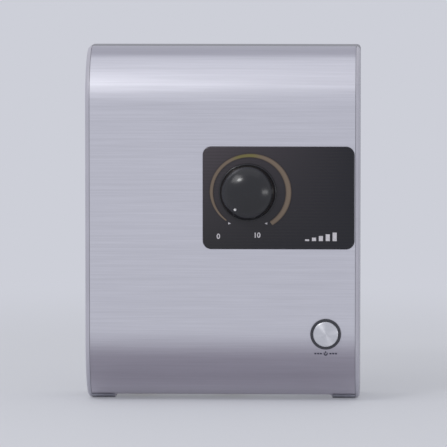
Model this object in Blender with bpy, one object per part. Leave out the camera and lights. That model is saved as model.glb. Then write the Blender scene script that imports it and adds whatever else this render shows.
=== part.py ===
"""Compact electric tankless water heater for a shower or basin, as an assembly of separate pieces.

Metres, +Z up. The origin is the centre of the rear face, on the wall. The front faces -Y.
"""

import math

import bmesh
import bpy
from mathutils import Vector

# Case
WIDTH = 0.200
HEIGHT = 0.259
BASE_DEPTH = 0.036
COVER_DEPTH = 0.0424
CASE_WALL = 0.0025
SHELL_WALL = 0.0024
BASE_CORNER = 0.003
EDGE_ROUND = 0.003
FOOT_WIDTH = 0.020
FOOT_HEIGHT = 0.004
RECESS_HEIGHT = 0.0235
NOTCH_ROUND = 0.003
SEAL_THICKNESS = 0.001
SKIN_THICKNESS = 0.0008
GAP = 0.0003
OVERRUN = 0.002
BITE = 0.0005

# Screws and running fits
RUNNING = 0.0001
SCREW_RADIUS = 0.0015
SCREW_HEAD_RADIUS = 0.003
SCREW_HEAD_HEIGHT = 0.0022
SCREW_LENGTH = 0.009
SLOT_WIDTH = 0.0009
SLOT_DEPTH = 0.0009
HEAD_TOP_SHARE = 0.7

# Cover fixings
LUG_INSET = 0.006
LUG_WIDTH = 0.010
LUG_DEPTH = 0.010
LUG_HEIGHT = 0.0085
TAB_INSET = 0.060
TAB_WIDTH = 0.014
TAB_THICKNESS = 0.002
TAB_REACH = 0.006
TAB_ROOT = 0.0095

# Wall fixings in the rear base
KEYHOLE_INSET = 0.040
KEYHOLE_DROP = 0.0295
KEYHOLE_RADIUS = 0.0045
KEYHOLE_SLOT = 0.0046
KEYHOLE_RISE = 0.0085
LOWER_SLOT_INSET = 0.066
LOWER_SLOT_RISE = 0.0435
SLOT_ROUND_SHARE = 0.98
BOSS_RADIUS = 0.004
BOSS_HEIGHT = 0.004
PEG_RADIUS = 0.0016
PEG_HEIGHT = 0.0035

# Control panel and its scale
PANEL_SIDE_ROOM = 0.004
PANEL_DROP = 0.0715
PANEL_WIDTH = 0.110
PANEL_HEIGHT = 0.0744
PANEL_CORNER = 0.006
PANEL_THICKNESS = 0.0016
PANEL_PROUD = 0.0008
PANEL_BEVEL = 0.0004
KNOB_FROM_LEFT = 0.0326
KNOB_FROM_TOP = 0.0331
SCALE_INNER = 0.0252
SCALE_START_WIDTH = 0.0010
SCALE_WIDTH = 0.0026
SCALE_START_SHARE = 0.18
SCALE_INNER_SWELL = 0.0024
SCALE_OUTER_SWELL = 0.0040
SCALE_SWELL_DEG = 450
SCALE_SWELL_REACH_DEG = 112.5
SCALE_THICKNESS = 0.0004
SCALE_FROM_DEG = 217
SCALE_SWEEP_DEG = 286

# Control knob, shaft and board
KNOB_RADIUS = 0.021
KNOB_DEPTH = 0.0164
KNOB_SKIRT = 0.0018
KNOB_CHAMFER = 0.0006
DOME_RADIUS = 0.0197
KNOB_LIFT = 0.0008
KNOB_FLOOR = 0.006
KNOB_ROUND_SHARE = 0.56
KNOB_POWER_SHARE = 2.4
KNOB_DOME_SHARES = (1, 0.985, 0.93, 0.84, 0.71, 0.52, 0.28, 0)
MARKER_RADIUS = 0.0011
MARKER_OFFSET = 0.0146
MARKER_DEPTH = 0.0035
SHAFT_RADIUS = 0.003
SHAFT_FLAT = 0.0021
SHAFT_FLAT_LENGTH = 0.006
POT_RADIUS = 0.0085
BUSH_RADIUS = 0.0036
SHAFT_TAIL = 0.0045
BOARD_WIDTH = 0.060
BOARD_HEIGHT = 0.053
BOARD_SHIFT = 0.0014
BOARD_LIFT = 0.0006
BOARD_THICKNESS = 0.0016
BOARD_STANDOFF = 0.0057
BOARD_MARGIN = 0.0045
POST_RADIUS = 0.0032

# Test button in the front
BUTTON_INSET = 0.0246
BUTTON_RISE = 0.0509
BUTTON_RADIUS = 0.0091
BUTTON_PROUD = 0.0012
BUTTON_DOME = 0.0012
BUTTON_DOME_SHARES = ((0, 1), (0.5, 0.78), (0.85, 0.32), (1, 0))
BUTTON_SKIRT = 0.0050
BUTTON_TRAVEL = 0.0025
BEZEL_RADIUS = 0.0112
BEZEL_LIP = 0.0009
BEZEL_WALL = 0.0008
SPRING_LENGTH = 0.0092
SPRING_RADIUS = 0.0055
SPRING_WIRE = 0.00045
WEB_THICKNESS = 0.001
STEM_RADIUS = 0.003
CLIP_RADIUS = 0.0055
CLIP_THICKNESS = 0.0008
NUT_FLANGE = 0.002
NUT_THICKNESS = 0.0028

# Breaker behind the test button
BREAKER_WIDTH = 0.037
BREAKER_RISE = 0.0115
BREAKER_HEIGHT = 0.042
BREAKER_DEPTH = 0.047
BREAKER_SIDE_ROOM = 0.0035
KEY_WIDTH = 0.006
KEY_DEPTH = 0.0055
KEY_OVERTRAVEL = 0.0005
LEVER_INSET = 0.008
LEVER_RISE = 0.030
LEVER_WIDTH = 0.005
LEVER_BARREL = 0.0036
LEVER_LENGTH = 0.011
LEVER_THICKNESS = 0.003
LEVER_SETBACK = 0.005
LEVER_TILT_DEG = 18

# Terminal block, cable entry and power stage
TERMINAL_WIDTH = 0.034
TERMINAL_SPACE = 0.010
TERMINAL_HEIGHT = 0.028
TERMINAL_DEPTH = 0.019
TERMINAL_SCREW_DEPTH = 0.008
TERMINAL_COUNT = 3
GROMMET_SPACE = 0.025
GROMMET_BORE = 0.004
GROMMET_NECK = 0.007
GROMMET_FLANGE = 0.009
GROMMET_LIP = 0.002
CLAMP_WIDTH = 0.013
CLAMP_DEPTH = 0.0225
CLAMP_RISE = 0.0025
CLAMP_HEIGHT = 0.010
SINK_SIDE_ROOM = 0.0195
SINK_WIDTH = 0.062
SINK_TOP_ROOM = 0.017
SINK_HEIGHT = 0.044
SINK_PLATE = 0.0035
SINK_FIN = 0.0012
SINK_FIN_HEIGHT = 0.014
SINK_FINS = 7
TRIAC_BAY = 0.016
TRIAC_WIDTH = 0.010
TRIAC_HEIGHT = 0.016
TRIAC_THICKNESS = 0.0045
TRIAC_RISE = 0.014
TRIAC_HOLE_SHARE = 0.8

# Heating tank
PIPE_LANE = 0.0185
TANK_RADIUS = 0.027
TANK_WALL = 0.0018
TANK_RISE = 0.0415
TANK_TOP_ROOM = 0.049
TANK_REAR_ROOM = 0.0025
LID_SKIRT = 0.010
LID_WALL = 0.0015
LID_TOP = 0.0057
ELEMENT_WIRE = 0.0032
ELEMENT_COIL_RADIUS = 0.015
ELEMENT_TURNS = 5
ELEMENT_FOOT_SHARE = 3
ELEMENT_DROP = 0.020
ELEMENT_RISE = 0.032
ELEMENT_PIN_RISE = 0.008
STUB_RISE = 0.017
STUB_RADIUS = 0.005
STUB_BORE = 0.0036
STUB_LENGTH = 0.005
STUB_ROOT = 0.011
STRAP_THICKNESS = 0.0012
STRAP_HEIGHT = 0.008
STRAP_EAR = 0.0105
STRAP_DROP = 0.022
STRAP_RISE = 0.030
CUTOUT_DROP = 0.042
CUTOUT_RADIUS = 0.008
CUTOUT_DEPTH = 0.0095
RESET_RADIUS = 0.002
RESET_RISE = 0.003
RESET_DEPTH_SHARE = 0.55

# Water connections
TAIL_REAR_ROOM = 0.0155
TAIL_RADIUS = 0.0102
TAIL_BORE = 0.007
TAIL_FLANGE = 0.0125
TAIL_FLANGE_HEIGHT = 0.0042
OUTLET_OFFSET = 0.008
OUTLET_NECK = 0.0075
OUTLET_NECK_HEIGHT = 0.007
OUTLET_BORE = 0.0048
CONNECTION_SPACING = 0.065
HEX_FLATS = 0.024
HEX_HEIGHT = 0.005
FILTER_LENGTH = 0.012
FILTER_WALL = 0.0008
PIPE_RADIUS = 0.005
PIPE_BORE = 0.004
PIPE_SIDE_ROOM = 0.0045
PIPE_DROP_RISE = 0.005
PIPE_START_OFFSET = 0.016
PIPE_BEND_RISE = 0.010
PIPE_DIP = 0.004
PIPE_REACH_SHARE = 0.6
PIPE_END_SHARES = (0.5, 0.2, 0)

# Flow switch and regulator
BLOCK_LEFT_WALL = 0.009
BLOCK_RIGHT_WALL = 0.013
BLOCK_DEPTH = 0.024
BLOCK_HEIGHT = 0.0187
BLOCK_BORE = 0.006
CROSS_BORE = 0.003
SPINDLE_SPACE = 0.0225
SPINDLE_RADIUS = 0.004
SPINDLE_GRIP = 0.0065
SPINDLE_GRIP_HEIGHT = 0.010
SPINDLE_GRIP_DROP = 0.003
SPINDLE_DEPTH = 0.012
HOUSING_RADIUS = 0.008
HOUSING_BORE = 0.00605
HOUSING_PORT = 0.004
HOUSING_SEAT = 0.0057
HOUSING_RISE = 0.010
HOUSING_CAP = 0.003
HOUSING_STUB = 0.017
PISTON_LENGTH = 0.0137
PISTON_RADIUS = 0.0059
FLOW_SPRING_RADIUS = 0.0042
FLOW_SPRING_TURNS = 6
BUTTON_SPRING_TURNS = 4
HOSE_WALL = 0.0022
HOSE_OVERLAP = 0.003
REED_WIDTH = 0.0047
REED_DEPTH = 0.008
REED_HEIGHT = 0.012
WIRE_RADIUS = 0.0014
LIVE_LEVEL_SHARE = 0.7
NEUTRAL_LEVEL_SHARE = 0.8
NEUTRAL_RISE_SHARE = 1.2
NEUTRAL_DROP_SHARE = 0.6
EARTH_DROP_SHARE = 0.17

# Numbers of sides and steps
ROUND_SIDES = 24
SMALL_SIDES = 12
TUBE_SIDES = 10
ROLL_STEPS = 9
CORNER_STEPS = 3
SCALE_STEPS = 36
SHARP_DEG = 35
COIL_STEPS = 8
ROUTE_STEPS = 8

# Places worked out from the sizes above
HALF_WIDTH = WIDTH / 2
HALF_HEIGHT = HEIGHT / 2
RIM_Y = -(BASE_DEPTH + GAP + SEAL_THICKNESS + GAP)
FRONT_Y = RIM_Y - COVER_DEPTH
SEAT_DEPTH = SKIN_THICKNESS + GAP
SEAT_Y = FRONT_Y + SEAT_DEPTH
INNER_FRONT_Y = FRONT_Y + SHELL_WALL
RECESS_HALF = HALF_WIDTH - FOOT_WIDTH
RECESS_TOP = -HALF_HEIGHT + RECESS_HEIGHT
RECESS_FLOOR = RECESS_TOP + CASE_WALL
NOTCH_Z = -HALF_HEIGHT + FOOT_HEIGHT
CLOSING_TOP = RECESS_FLOOR + GAP + LUG_HEIGHT
LUG_X = RECESS_HALF - LUG_INSET
LUG_Y = RIM_Y + LUG_DEPTH / 2
TAB_X = HALF_WIDTH - TAB_INSET
KEYHOLE_X = HALF_WIDTH - KEYHOLE_INSET
KEYHOLE_Z = HALF_HEIGHT - KEYHOLE_DROP
LOWER_SLOT_X = HALF_WIDTH - LOWER_SLOT_INSET
LOWER_SLOT_Z = RECESS_FLOOR + LOWER_SLOT_RISE
FLOOR_Y = -CASE_WALL
SEATED_Y = FLOOR_Y - GAP
BOSS_Y = FLOOR_Y - BOSS_HEIGHT
PANEL_RIGHT = HALF_WIDTH - PANEL_SIDE_ROOM
PANEL_LEFT = PANEL_RIGHT - PANEL_WIDTH
PANEL_TOP = HALF_HEIGHT - PANEL_DROP
PANEL_LOW = PANEL_TOP - PANEL_HEIGHT
PANEL_BACK_Y = SEAT_Y - GAP
PANEL_FRONT_Y = PANEL_BACK_Y - PANEL_THICKNESS
KNOB_X = PANEL_LEFT + KNOB_FROM_LEFT
KNOB_Z = PANEL_TOP - KNOB_FROM_TOP
KNOB_BACK_Y = PANEL_FRONT_Y - KNOB_LIFT
BOARD_LEFT = KNOB_X + BOARD_SHIFT - BOARD_WIDTH / 2
BOARD_RIGHT = BOARD_LEFT + BOARD_WIDTH
BOARD_LOW = KNOB_Z + BOARD_LIFT - BOARD_HEIGHT / 2
BOARD_HIGH = BOARD_LOW + BOARD_HEIGHT
BOARD_FRONT_Y = INNER_FRONT_Y + BOARD_STANDOFF + GAP
BOARD_BACK_Y = BOARD_FRONT_Y + BOARD_THICKNESS
BUTTON_X = HALF_WIDTH - BUTTON_INSET
BUTTON_Z = -HALF_HEIGHT + BUTTON_RISE
SLEEVE_BORE = BUTTON_RADIUS + RUNNING
SLEEVE_RADIUS = SLEEVE_BORE + BEZEL_WALL
BEZEL_HOLE = SLEEVE_RADIUS + GAP
BEZEL_FRONT_Y = FRONT_Y - GAP - BEZEL_LIP
CAP_BACK_Y = BEZEL_FRONT_Y + BUTTON_SKIRT
WEB_FRONT_Y = CAP_BACK_Y + SPRING_LENGTH + GAP
SLEEVE_BACK_Y = WEB_FRONT_Y + WEB_THICKNESS
BREAKER_RIGHT = HALF_WIDTH - CASE_WALL - BREAKER_SIDE_ROOM
BREAKER_LEFT = BREAKER_RIGHT - BREAKER_WIDTH
BREAKER_LOW = RECESS_FLOOR + BREAKER_RISE
BREAKER_HIGH = BREAKER_LOW + BREAKER_HEIGHT
BREAKER_FRONT_Y = SEATED_Y - BREAKER_DEPTH
KEY_FRONT_Y = BREAKER_FRONT_Y - KEY_DEPTH
LEVER_X = BREAKER_LEFT + LEVER_INSET
LEVER_Y = BREAKER_FRONT_Y + LEVER_SETBACK
LEVER_Z = BREAKER_LOW + LEVER_RISE
CLAMP_LOW = RECESS_FLOOR + CLAMP_RISE
TERMINAL_LEFT = BREAKER_RIGHT - TERMINAL_WIDTH
TERMINAL_LOW = BREAKER_HIGH + TERMINAL_SPACE
TERMINAL_HIGH = TERMINAL_LOW + TERMINAL_HEIGHT
TERMINAL_FRONT_Y = SEATED_Y - TERMINAL_DEPTH
SINK_FRONT_Y = SEATED_Y - SINK_PLATE
SINK_LEFT = HALF_WIDTH - CASE_WALL - SINK_SIDE_ROOM - SINK_WIDTH
SINK_LOW = HALF_HEIGHT - CASE_WALL - SINK_TOP_ROOM - SINK_HEIGHT
TANK_X = -(HALF_WIDTH - CASE_WALL - PIPE_LANE - TANK_RADIUS)
TANK_Y = FLOOR_Y - TANK_REAR_ROOM - TANK_RADIUS
TANK_LOW = RECESS_FLOOR + TANK_RISE
TANK_HIGH = HALF_HEIGHT - CASE_WALL - TANK_TOP_ROOM
ELEMENT_TOP = TANK_HIGH - ELEMENT_DROP
ELEMENT_BOTTOM = TANK_LOW + ELEMENT_RISE
STRAP_UPPER_Z = TANK_HIGH - STRAP_DROP
STRAP_LOWER_Z = TANK_LOW + STRAP_RISE
CUTOUT_Z = TANK_HIGH - CUTOUT_DROP
STUB_Z = TANK_LOW + STUB_RISE
LID_INNER = TANK_RADIUS + GAP
LID_OUTER = LID_INNER + LID_WALL
LID_TOP_Z = TANK_HIGH + GAP + LID_TOP
OUTLET_X = TANK_X - OUTLET_OFFSET
GROMMET_X = OUTLET_X + GROMMET_SPACE
INLET_X = OUTLET_X + CONNECTION_SPACING
SPINDLE_X = INLET_X - SPINDLE_SPACE
TAIL_Y = FLOOR_Y - TAIL_REAR_ROOM
TAIL_LOW = NOTCH_Z + BITE
TAIL_TOP = RECESS_FLOOR + GAP + TAIL_FLANGE_HEIGHT
BLOCK_LEFT = SPINDLE_X - BLOCK_LEFT_WALL
BLOCK_RIGHT = INLET_X + BLOCK_RIGHT_WALL
BLOCK_FRONT = TAIL_Y - BLOCK_DEPTH / 2
BLOCK_REAR = TAIL_Y + BLOCK_DEPTH / 2
BLOCK_LOW = TAIL_TOP + GAP
BLOCK_TOP = BLOCK_LOW + BLOCK_HEIGHT
HOUSING_LOW = BLOCK_TOP + GAP
PISTON_LOW = HOUSING_LOW + HOUSING_SEAT + GAP
PISTON_TOP = PISTON_LOW + PISTON_LENGTH
REED_Z = PISTON_TOP
HOUSING_TOP = STUB_Z + HOUSING_RISE
SPRING_CEILING = HOUSING_TOP - HOUSING_CAP
STUB_END_X = TANK_X + TANK_RADIUS + STUB_LENGTH
STUB_ROOT_X = TANK_X + TANK_RADIUS - STUB_ROOT
HOUSING_STUB_X = INLET_X - HOUSING_STUB
CUTOUT_BACK_X = TANK_X + TANK_RADIUS + GAP
CUTOUT_FRONT_X = CUTOUT_BACK_X + CUTOUT_DEPTH
PIPE_X = -HALF_WIDTH + CASE_WALL + PIPE_SIDE_ROOM + PIPE_RADIUS
PIPE_START_X = TANK_X - PIPE_START_OFFSET
PIPE_DROP_Z = TANK_LOW + PIPE_DROP_RISE
PIPE_BEND_Z = LID_TOP_Z + PIPE_BEND_RISE


# Shapes: each is a list of points and a list of faces

def place(axis, along, across, up):
    """A point given along an axis and across it: X gives (y, z), Y gives (x, z), Z gives (x, y)."""
    if axis == "X":
        return (along, across, up)
    if axis == "Y":
        return (across, along, up)
    return (across, up, along)


def loft(layers, axis):
    """Closed body through outlines of one number of points, each at its own place on the axis."""
    count = len(layers[0][1])
    points = [place(axis, along, u, v) for along, outline in layers for u, v in outline]
    faces = [tuple(range(count))]
    for layer in range(len(layers) - 1):
        first = layer * count
        for i in range(count):
            j = (i + 1) % count
            faces.append((first + i, first + j, first + count + j, first + count + i))
    faces.append(tuple(range(len(points) - count, len(points))))
    return points, faces


def prism(outline, start, end, axis):
    return loft([(start, outline), (end, outline)], axis)


def block(low, high):
    outline = [(low[0], low[1]), (high[0], low[1]), (high[0], high[1]), (low[0], high[1])]
    return prism(outline, low[2], high[2], "Z")


def turned(profile, centre, axis, sides):
    """Profile of (radius, place on the axis) turned round it, closed at the axis or as a ring."""
    rings = []
    points = []
    for radius, along in profile:
        steps = sides if radius else 1
        rings.append(range(len(points), len(points) + steps))
        for i in range(steps):
            turn = 2 * math.pi * i / sides
            u = centre[0] + radius * math.cos(turn)
            v = centre[1] + radius * math.sin(turn)
            points.append(place(axis, along, u, v))
    pairs = list(zip(rings, rings[1:]))
    if profile[0][0] and profile[-1][0]:
        pairs.append((rings[-1], rings[0]))
    faces = []
    for one, two in pairs:
        for i in range(sides):
            j = (i + 1) % sides
            corners = [one[i % len(one)], one[j % len(one)], two[j % len(two)], two[i % len(two)]]
            face = list(dict.fromkeys(corners))
            if len(face) > 2:
                faces.append(tuple(face))
    return points, faces


def rod(radius, start, end, centre, axis, sides=SMALL_SIDES):
    return turned([(0, start), (radius, start), (radius, end), (0, end)], centre, axis, sides)


def collar(bore, radius, start, end, centre, axis, sides=ROUND_SIDES):
    profile = [(bore, start), (radius, start), (radius, end), (bore, end)]
    return turned(profile, centre, axis, sides)


def pipe(route, radius, bore, sides=TUBE_SIDES):
    """Hollow tube along a route, its rings turned with the route and not twisted."""
    route = [Vector(point) for point in route]
    side = Vector((0, 1, 0))
    points = []
    for i, point in enumerate(route):
        ahead = route[min(i + 1, len(route) - 1)]
        behind = route[max(i - 1, 0)]
        forward = (ahead - behind).normalized()
        side = (side - forward * side.dot(forward)).normalized()
        up = forward.cross(side)
        for ring_radius in (radius, bore):
            for k in range(sides):
                turn = 2 * math.pi * k / sides
                offset = side * math.cos(turn) + up * math.sin(turn)
                points.append(tuple(point + offset * ring_radius))
    faces = []
    last = len(route) - 1
    for k in range(sides):
        m = (k + 1) % sides
        for i in range(last):
            here, there = 2 * sides * i, 2 * sides * (i + 1)
            faces.append((here + k, here + m, there + m, there + k))
            faces.append((here + sides + m, here + sides + k, there + sides + k, there + sides + m))
        end = 2 * sides * last
        faces.append((k, sides + k, sides + m, m))
        faces.append((end + k, end + m, end + sides + m, end + sides + k))
    return points, faces


def merged(shapes):
    points, faces = [], []
    for shape_points, shape_faces in shapes:
        start = len(points)
        points.extend(shape_points)
        faces.extend(tuple(start + i for i in face) for face in shape_faces)
    return points, faces


# Outlines

def rounded(left, right, low, high, radius, steps=CORNER_STEPS):
    """Rectangle with round corners, anticlockwise."""
    centres = [
        (right - radius, high - radius, 0),
        (left + radius, high - radius, 1),
        (left + radius, low + radius, 2),
        (right - radius, low + radius, 3),
    ]
    outline = []
    for u, v, quarter in centres:
        for i in range(steps + 1):
            turn = (quarter + i / steps) * math.pi / 2
            outline.append((u + radius * math.cos(turn), v + radius * math.sin(turn)))
    return outline


def bridge_outline(inset, corner):
    """Rectangle of the case with a recess between its feet, drawn in by the inset."""
    right = HALF_WIDTH - inset
    top = HALF_HEIGHT - inset
    inner = RECESS_HALF + inset
    roof = RECESS_TOP + inset
    outline = []
    for u, v, quarter in ((right - corner, corner - top, 3), (right - corner, top - corner, 0)):
        for i in range(CORNER_STEPS + 1):
            turn = (quarter + i / CORNER_STEPS) * math.pi / 2
            outline.append((u + corner * math.cos(turn), v + corner * math.sin(turn)))
    outline = [(inner, roof), (inner, -top)] + outline
    return outline + [(-u, v) for u, v in reversed(outline)]


def roll_profile(inset):
    """Open section of the cover in Y and Z: a flat front between two quarter rolls."""
    radius = COVER_DEPTH - inset
    centre_z = HALF_HEIGHT - COVER_DEPTH
    top = []
    for i in range(ROLL_STEPS + 1):
        turn = math.pi / 2 * i / ROLL_STEPS
        top.append((RIM_Y - radius * math.sin(turn), centre_z + radius * math.cos(turn)))
    return top + [(y, -z) for y, z in reversed(top)]


def roll_band(outer_inset, inner_inset, tail):
    """Closed band between two such sections, run on past the rim by the tail."""
    outer, inner = roll_profile(outer_inset), roll_profile(inner_inset)
    if tail:
        outer = [(RIM_Y + tail, outer[0][1])] + outer + [(RIM_Y + tail, outer[-1][1])]
        inner = [(RIM_Y + tail, inner[0][1])] + inner + [(RIM_Y + tail, inner[-1][1])]
    return outer + inner[::-1]


def bezier(start, start_handle, end_handle, end, steps=ROUTE_STEPS):
    """Points along one cubic curve."""
    corners = [Vector(point) for point in (start, start_handle, end_handle, end)]
    points = []
    for i in range(steps + 1):
        t = i / steps
        weights = ((1 - t) ** 3, 3 * t * (1 - t) ** 2, 3 * t * t * (1 - t), t ** 3)
        points.append(tuple(sum((c * w for c, w in zip(corners, weights)), Vector())))
    return points


def coil(centre, radius, start, end, turns, axis):
    """Points of an even helix."""
    count = turns * COIL_STEPS
    points = []
    for i in range(count + 1):
        turn = 2 * math.pi * i / COIL_STEPS
        along = start + (end - start) * i / count
        u = centre[0] + radius * math.cos(turn)
        v = centre[1] + radius * math.sin(turn)
        points.append(place(axis, along, u, v))
    return points


# Objects and materials

def finish(name, colour, roughness, metallic=0.0):
    """Principled material of one colour."""
    if name in bpy.data.materials:
        return bpy.data.materials[name]
    material = bpy.data.materials.new(name)
    material.use_nodes = True
    material.diffuse_color = (*colour, 1)
    shader = material.node_tree.nodes["Principled BSDF"]
    shader.inputs["Base Color"].default_value = (*colour, 1)
    shader.inputs["Roughness"].default_value = roughness
    shader.inputs["Metallic"].default_value = metallic
    return material


def mid_grey_plastic():
    return finish("mid_grey_plastic", (0.24, 0.24, 0.27), 0.5)


def black_plastic():
    return finish("black_plastic", (0.018, 0.018, 0.020), 0.45)


def light_grey_plastic():
    return finish("light_grey_plastic", (0.50, 0.50, 0.54), 0.42)


def brushed_silver():
    return finish("brushed_silver", (0.49, 0.49, 0.58), 0.34, 1.0)


def black_gloss():
    return finish("black_gloss", (0.008, 0.008, 0.010), 0.12)


def amber_print():
    return finish("amber_print", (0.26, 0.21, 0.10), 0.4)


def white_paint():
    return finish("white_paint", (0.80, 0.80, 0.80), 0.4)


def chrome():
    return finish("chrome", (0.60, 0.60, 0.64), 0.08, 1.0)


def steel():
    return finish("steel", (0.42, 0.42, 0.43), 0.35, 1.0)


def brass():
    return finish("brass", (0.55, 0.36, 0.12), 0.3, 1.0)


def copper():
    return finish("copper", (0.60, 0.26, 0.13), 0.3, 1.0)


def aluminium():
    return finish("aluminium", (0.60, 0.60, 0.61), 0.4, 1.0)


def rubber():
    return finish("rubber", (0.020, 0.020, 0.020), 0.8)


def white_plastic():
    return finish("white_plastic", (0.66, 0.66, 0.63), 0.45)


def board_green():
    return finish("board_green", (0.02, 0.13, 0.06), 0.4)


def solid(name, shape, material, origin=(0, 0, 0)):
    """One closed body whose origin is on its joint's axis or its own centre."""
    points, faces = shape
    mesh = bpy.data.meshes.new(name)
    home = Vector(origin)
    mesh.from_pydata([tuple(Vector(point) - home) for point in points], [], faces)
    cleaned = bmesh.new()
    cleaned.from_mesh(mesh)
    bmesh.ops.recalc_face_normals(cleaned, faces=cleaned.faces)
    cleaned.to_mesh(mesh)
    cleaned.free()
    mesh.shade_smooth()
    mesh.set_sharp_from_angle(angle=math.radians(SHARP_DEG))
    mesh.materials.append(material)
    obj = bpy.data.objects.new(name, mesh)
    obj.location = home
    bpy.context.scene.collection.objects.link(obj)
    return obj


def tool(obj, label, shapes, operation):
    """Boolean with hidden bodies that don't touch each other."""
    helper = solid(f"{obj.name}_{label}", merged(shapes), obj.data.materials[0])
    helper.hide_render = True
    helper.display_type = "WIRE"
    modifier = obj.modifiers.new(label, "BOOLEAN")
    modifier.operation = operation
    modifier.solver = "EXACT"
    modifier.object = helper


def cut(obj, label, shapes):
    tool(obj, label, shapes, "DIFFERENCE")


def join(obj, label, shapes):
    tool(obj, label, shapes, "UNION")


def strand(name, points, radius, material, sides_level=1):
    """Round wire along points, with closed ends."""
    curve = bpy.data.curves.new(name, "CURVE")
    curve.dimensions = "3D"
    curve.bevel_depth = radius
    curve.bevel_resolution = sides_level
    curve.use_fill_caps = True
    spline = curve.splines.new("POLY")
    spline.points.add(len(points) - 1)
    for target, point in zip(spline.points, points):
        target.co = (*point, 1)
    curve.materials.append(material)
    obj = bpy.data.objects.new(name, curve)
    bpy.context.scene.collection.objects.link(obj)
    return obj


def screw(name, centre, seat, direction, axis, length=SCREW_LENGTH):
    """Pan-head screw whose head rests at the seat and whose shank runs along the direction."""
    head = seat - direction * (GAP + SCREW_HEAD_HEIGHT)
    under = seat - direction * GAP
    tip = seat + direction * length
    profile = [
        (0, head),
        (SCREW_HEAD_RADIUS * HEAD_TOP_SHARE, head),
        (SCREW_HEAD_RADIUS, head + direction * SCREW_HEAD_HEIGHT / 2),
        (SCREW_HEAD_RADIUS, under),
        (SCREW_RADIUS, under),
        (SCREW_RADIUS, tip - direction * SCREW_RADIUS),
        (0, tip),
    ]
    obj = solid(name, turned(profile, centre, axis, SMALL_SIDES), steel())
    low = (centre[0] - SCREW_HEAD_RADIUS, centre[1] - SLOT_WIDTH / 2)
    high = (centre[0] + SCREW_HEAD_RADIUS, centre[1] + SLOT_WIDTH / 2)
    slot = [low, (high[0], low[1]), high, (low[0], high[1])]
    ends = (head - direction * OVERRUN, head + direction * SLOT_DEPTH)
    cut(obj, "slot", [prism(slot, *ends, axis)])
    return obj


# Case

def rear_base():
    """Tray against the wall, with a recess below for the water connections."""
    obj = solid("rear_base", prism(bridge_outline(0, BASE_CORNER), 0, -BASE_DEPTH, "Y"), mid_grey_plastic())
    hollow = prism(bridge_outline(CASE_WALL, BASE_CORNER / 2), FLOOR_Y, -BASE_DEPTH - OVERRUN, "Y")
    cut(obj, "hollow", [hollow])
    bosses = []
    for x, z in boss_places():
        bosses.append(rod(BOSS_RADIUS, FLOOR_Y + BITE, BOSS_Y, (x, z), "Y"))
    for x, z in peg_places():
        profile = [
            (0, FLOOR_Y + BITE),
            (BOSS_RADIUS, FLOOR_Y + BITE),
            (BOSS_RADIUS, BOSS_Y),
            (PEG_RADIUS, BOSS_Y),
            (PEG_RADIUS, BOSS_Y - PEG_HEIGHT),
            (0, BOSS_Y - PEG_HEIGHT),
        ]
        bosses.append(turned(profile, (x, z), "Y", SMALL_SIDES))
    join(obj, "bosses", bosses)
    holes = [keyhole(-KEYHOLE_X), keyhole(KEYHOLE_X), lower_slot(-LOWER_SLOT_X), lower_slot(LOWER_SLOT_X)]
    for x, z in boss_places():
        holes.append(rod(SCREW_RADIUS + GAP, BOSS_Y - OVERRUN, FLOOR_Y + BITE, (x, z), "Y"))
    openings = [
        (OUTLET_X, TAIL_Y, TAIL_RADIUS + GAP),
        (INLET_X, TAIL_Y, TAIL_RADIUS + GAP),
        (SPINDLE_X, TAIL_Y, SPINDLE_RADIUS + GAP),
        (GROMMET_X, TAIL_Y, GROMMET_NECK + GAP),
        (LUG_X, LUG_Y, SCREW_RADIUS + GAP),
        (-LUG_X, LUG_Y, SCREW_RADIUS + GAP),
    ]
    for x, y, radius in openings:
        holes.append(rod(radius, RECESS_TOP - OVERRUN, RECESS_FLOOR + OVERRUN, (x, y), "Z", ROUND_SIDES))
    cut(obj, "holes", holes)


def boss_places():
    x = TANK_X + LID_INNER + STRAP_THICKNESS + STRAP_EAR / 2
    return [(x, strap_middle(STRAP_UPPER_Z)), (x, strap_middle(STRAP_LOWER_Z))]


def peg_places():
    x = TANK_X - LID_INNER - STRAP_THICKNESS - STRAP_EAR / 2
    return [(x, strap_middle(STRAP_UPPER_Z)), (x, strap_middle(STRAP_LOWER_Z))]


def strap_middle(low):
    return low + STRAP_HEIGHT / 2


def keyhole(x):
    """Round hole for a screw head, with a slot above it that hangs on the shank."""
    outline = []
    half = KEYHOLE_SLOT / 2
    lean = math.asin(half / KEYHOLE_RADIUS)
    for i in range(SMALL_SIDES + 1):
        turn = math.pi / 2 + lean + (2 * math.pi - 2 * lean) * i / SMALL_SIDES
        outline.append((x + KEYHOLE_RADIUS * math.cos(turn), KEYHOLE_Z + KEYHOLE_RADIUS * math.sin(turn)))
    for i in range(CORNER_STEPS * 2 + 1):
        turn = math.pi * i / (CORNER_STEPS * 2)
        outline.append((x + half * math.cos(turn), KEYHOLE_Z + KEYHOLE_RISE + half * math.sin(turn)))
    return prism(outline, OVERRUN, FLOOR_Y - OVERRUN, "Y")


def lower_slot(x):
    """Slot across the wall that takes the lower screw."""
    half = KEYHOLE_SLOT / 2
    left, right = x - KEYHOLE_RADIUS, x + KEYHOLE_RADIUS
    radius = half * SLOT_ROUND_SHARE
    outline = rounded(left, right, LOWER_SLOT_Z - half, LOWER_SLOT_Z + half, radius)
    return prism(outline, OVERRUN, FLOOR_Y - OVERRUN, "Y")


def case_seal():
    """Flat gasket between the tray and the cover."""
    start, end = -BASE_DEPTH - GAP, -BASE_DEPTH - GAP - SEAL_THICKNESS
    obj = solid("case_seal", prism(bridge_outline(0, BASE_CORNER), start, end, "Y"), rubber())
    window = prism(bridge_outline(CASE_WALL, BASE_CORNER / 2), start + OVERRUN, end - OVERRUN, "Y")
    cut(obj, "window", [window])


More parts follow.
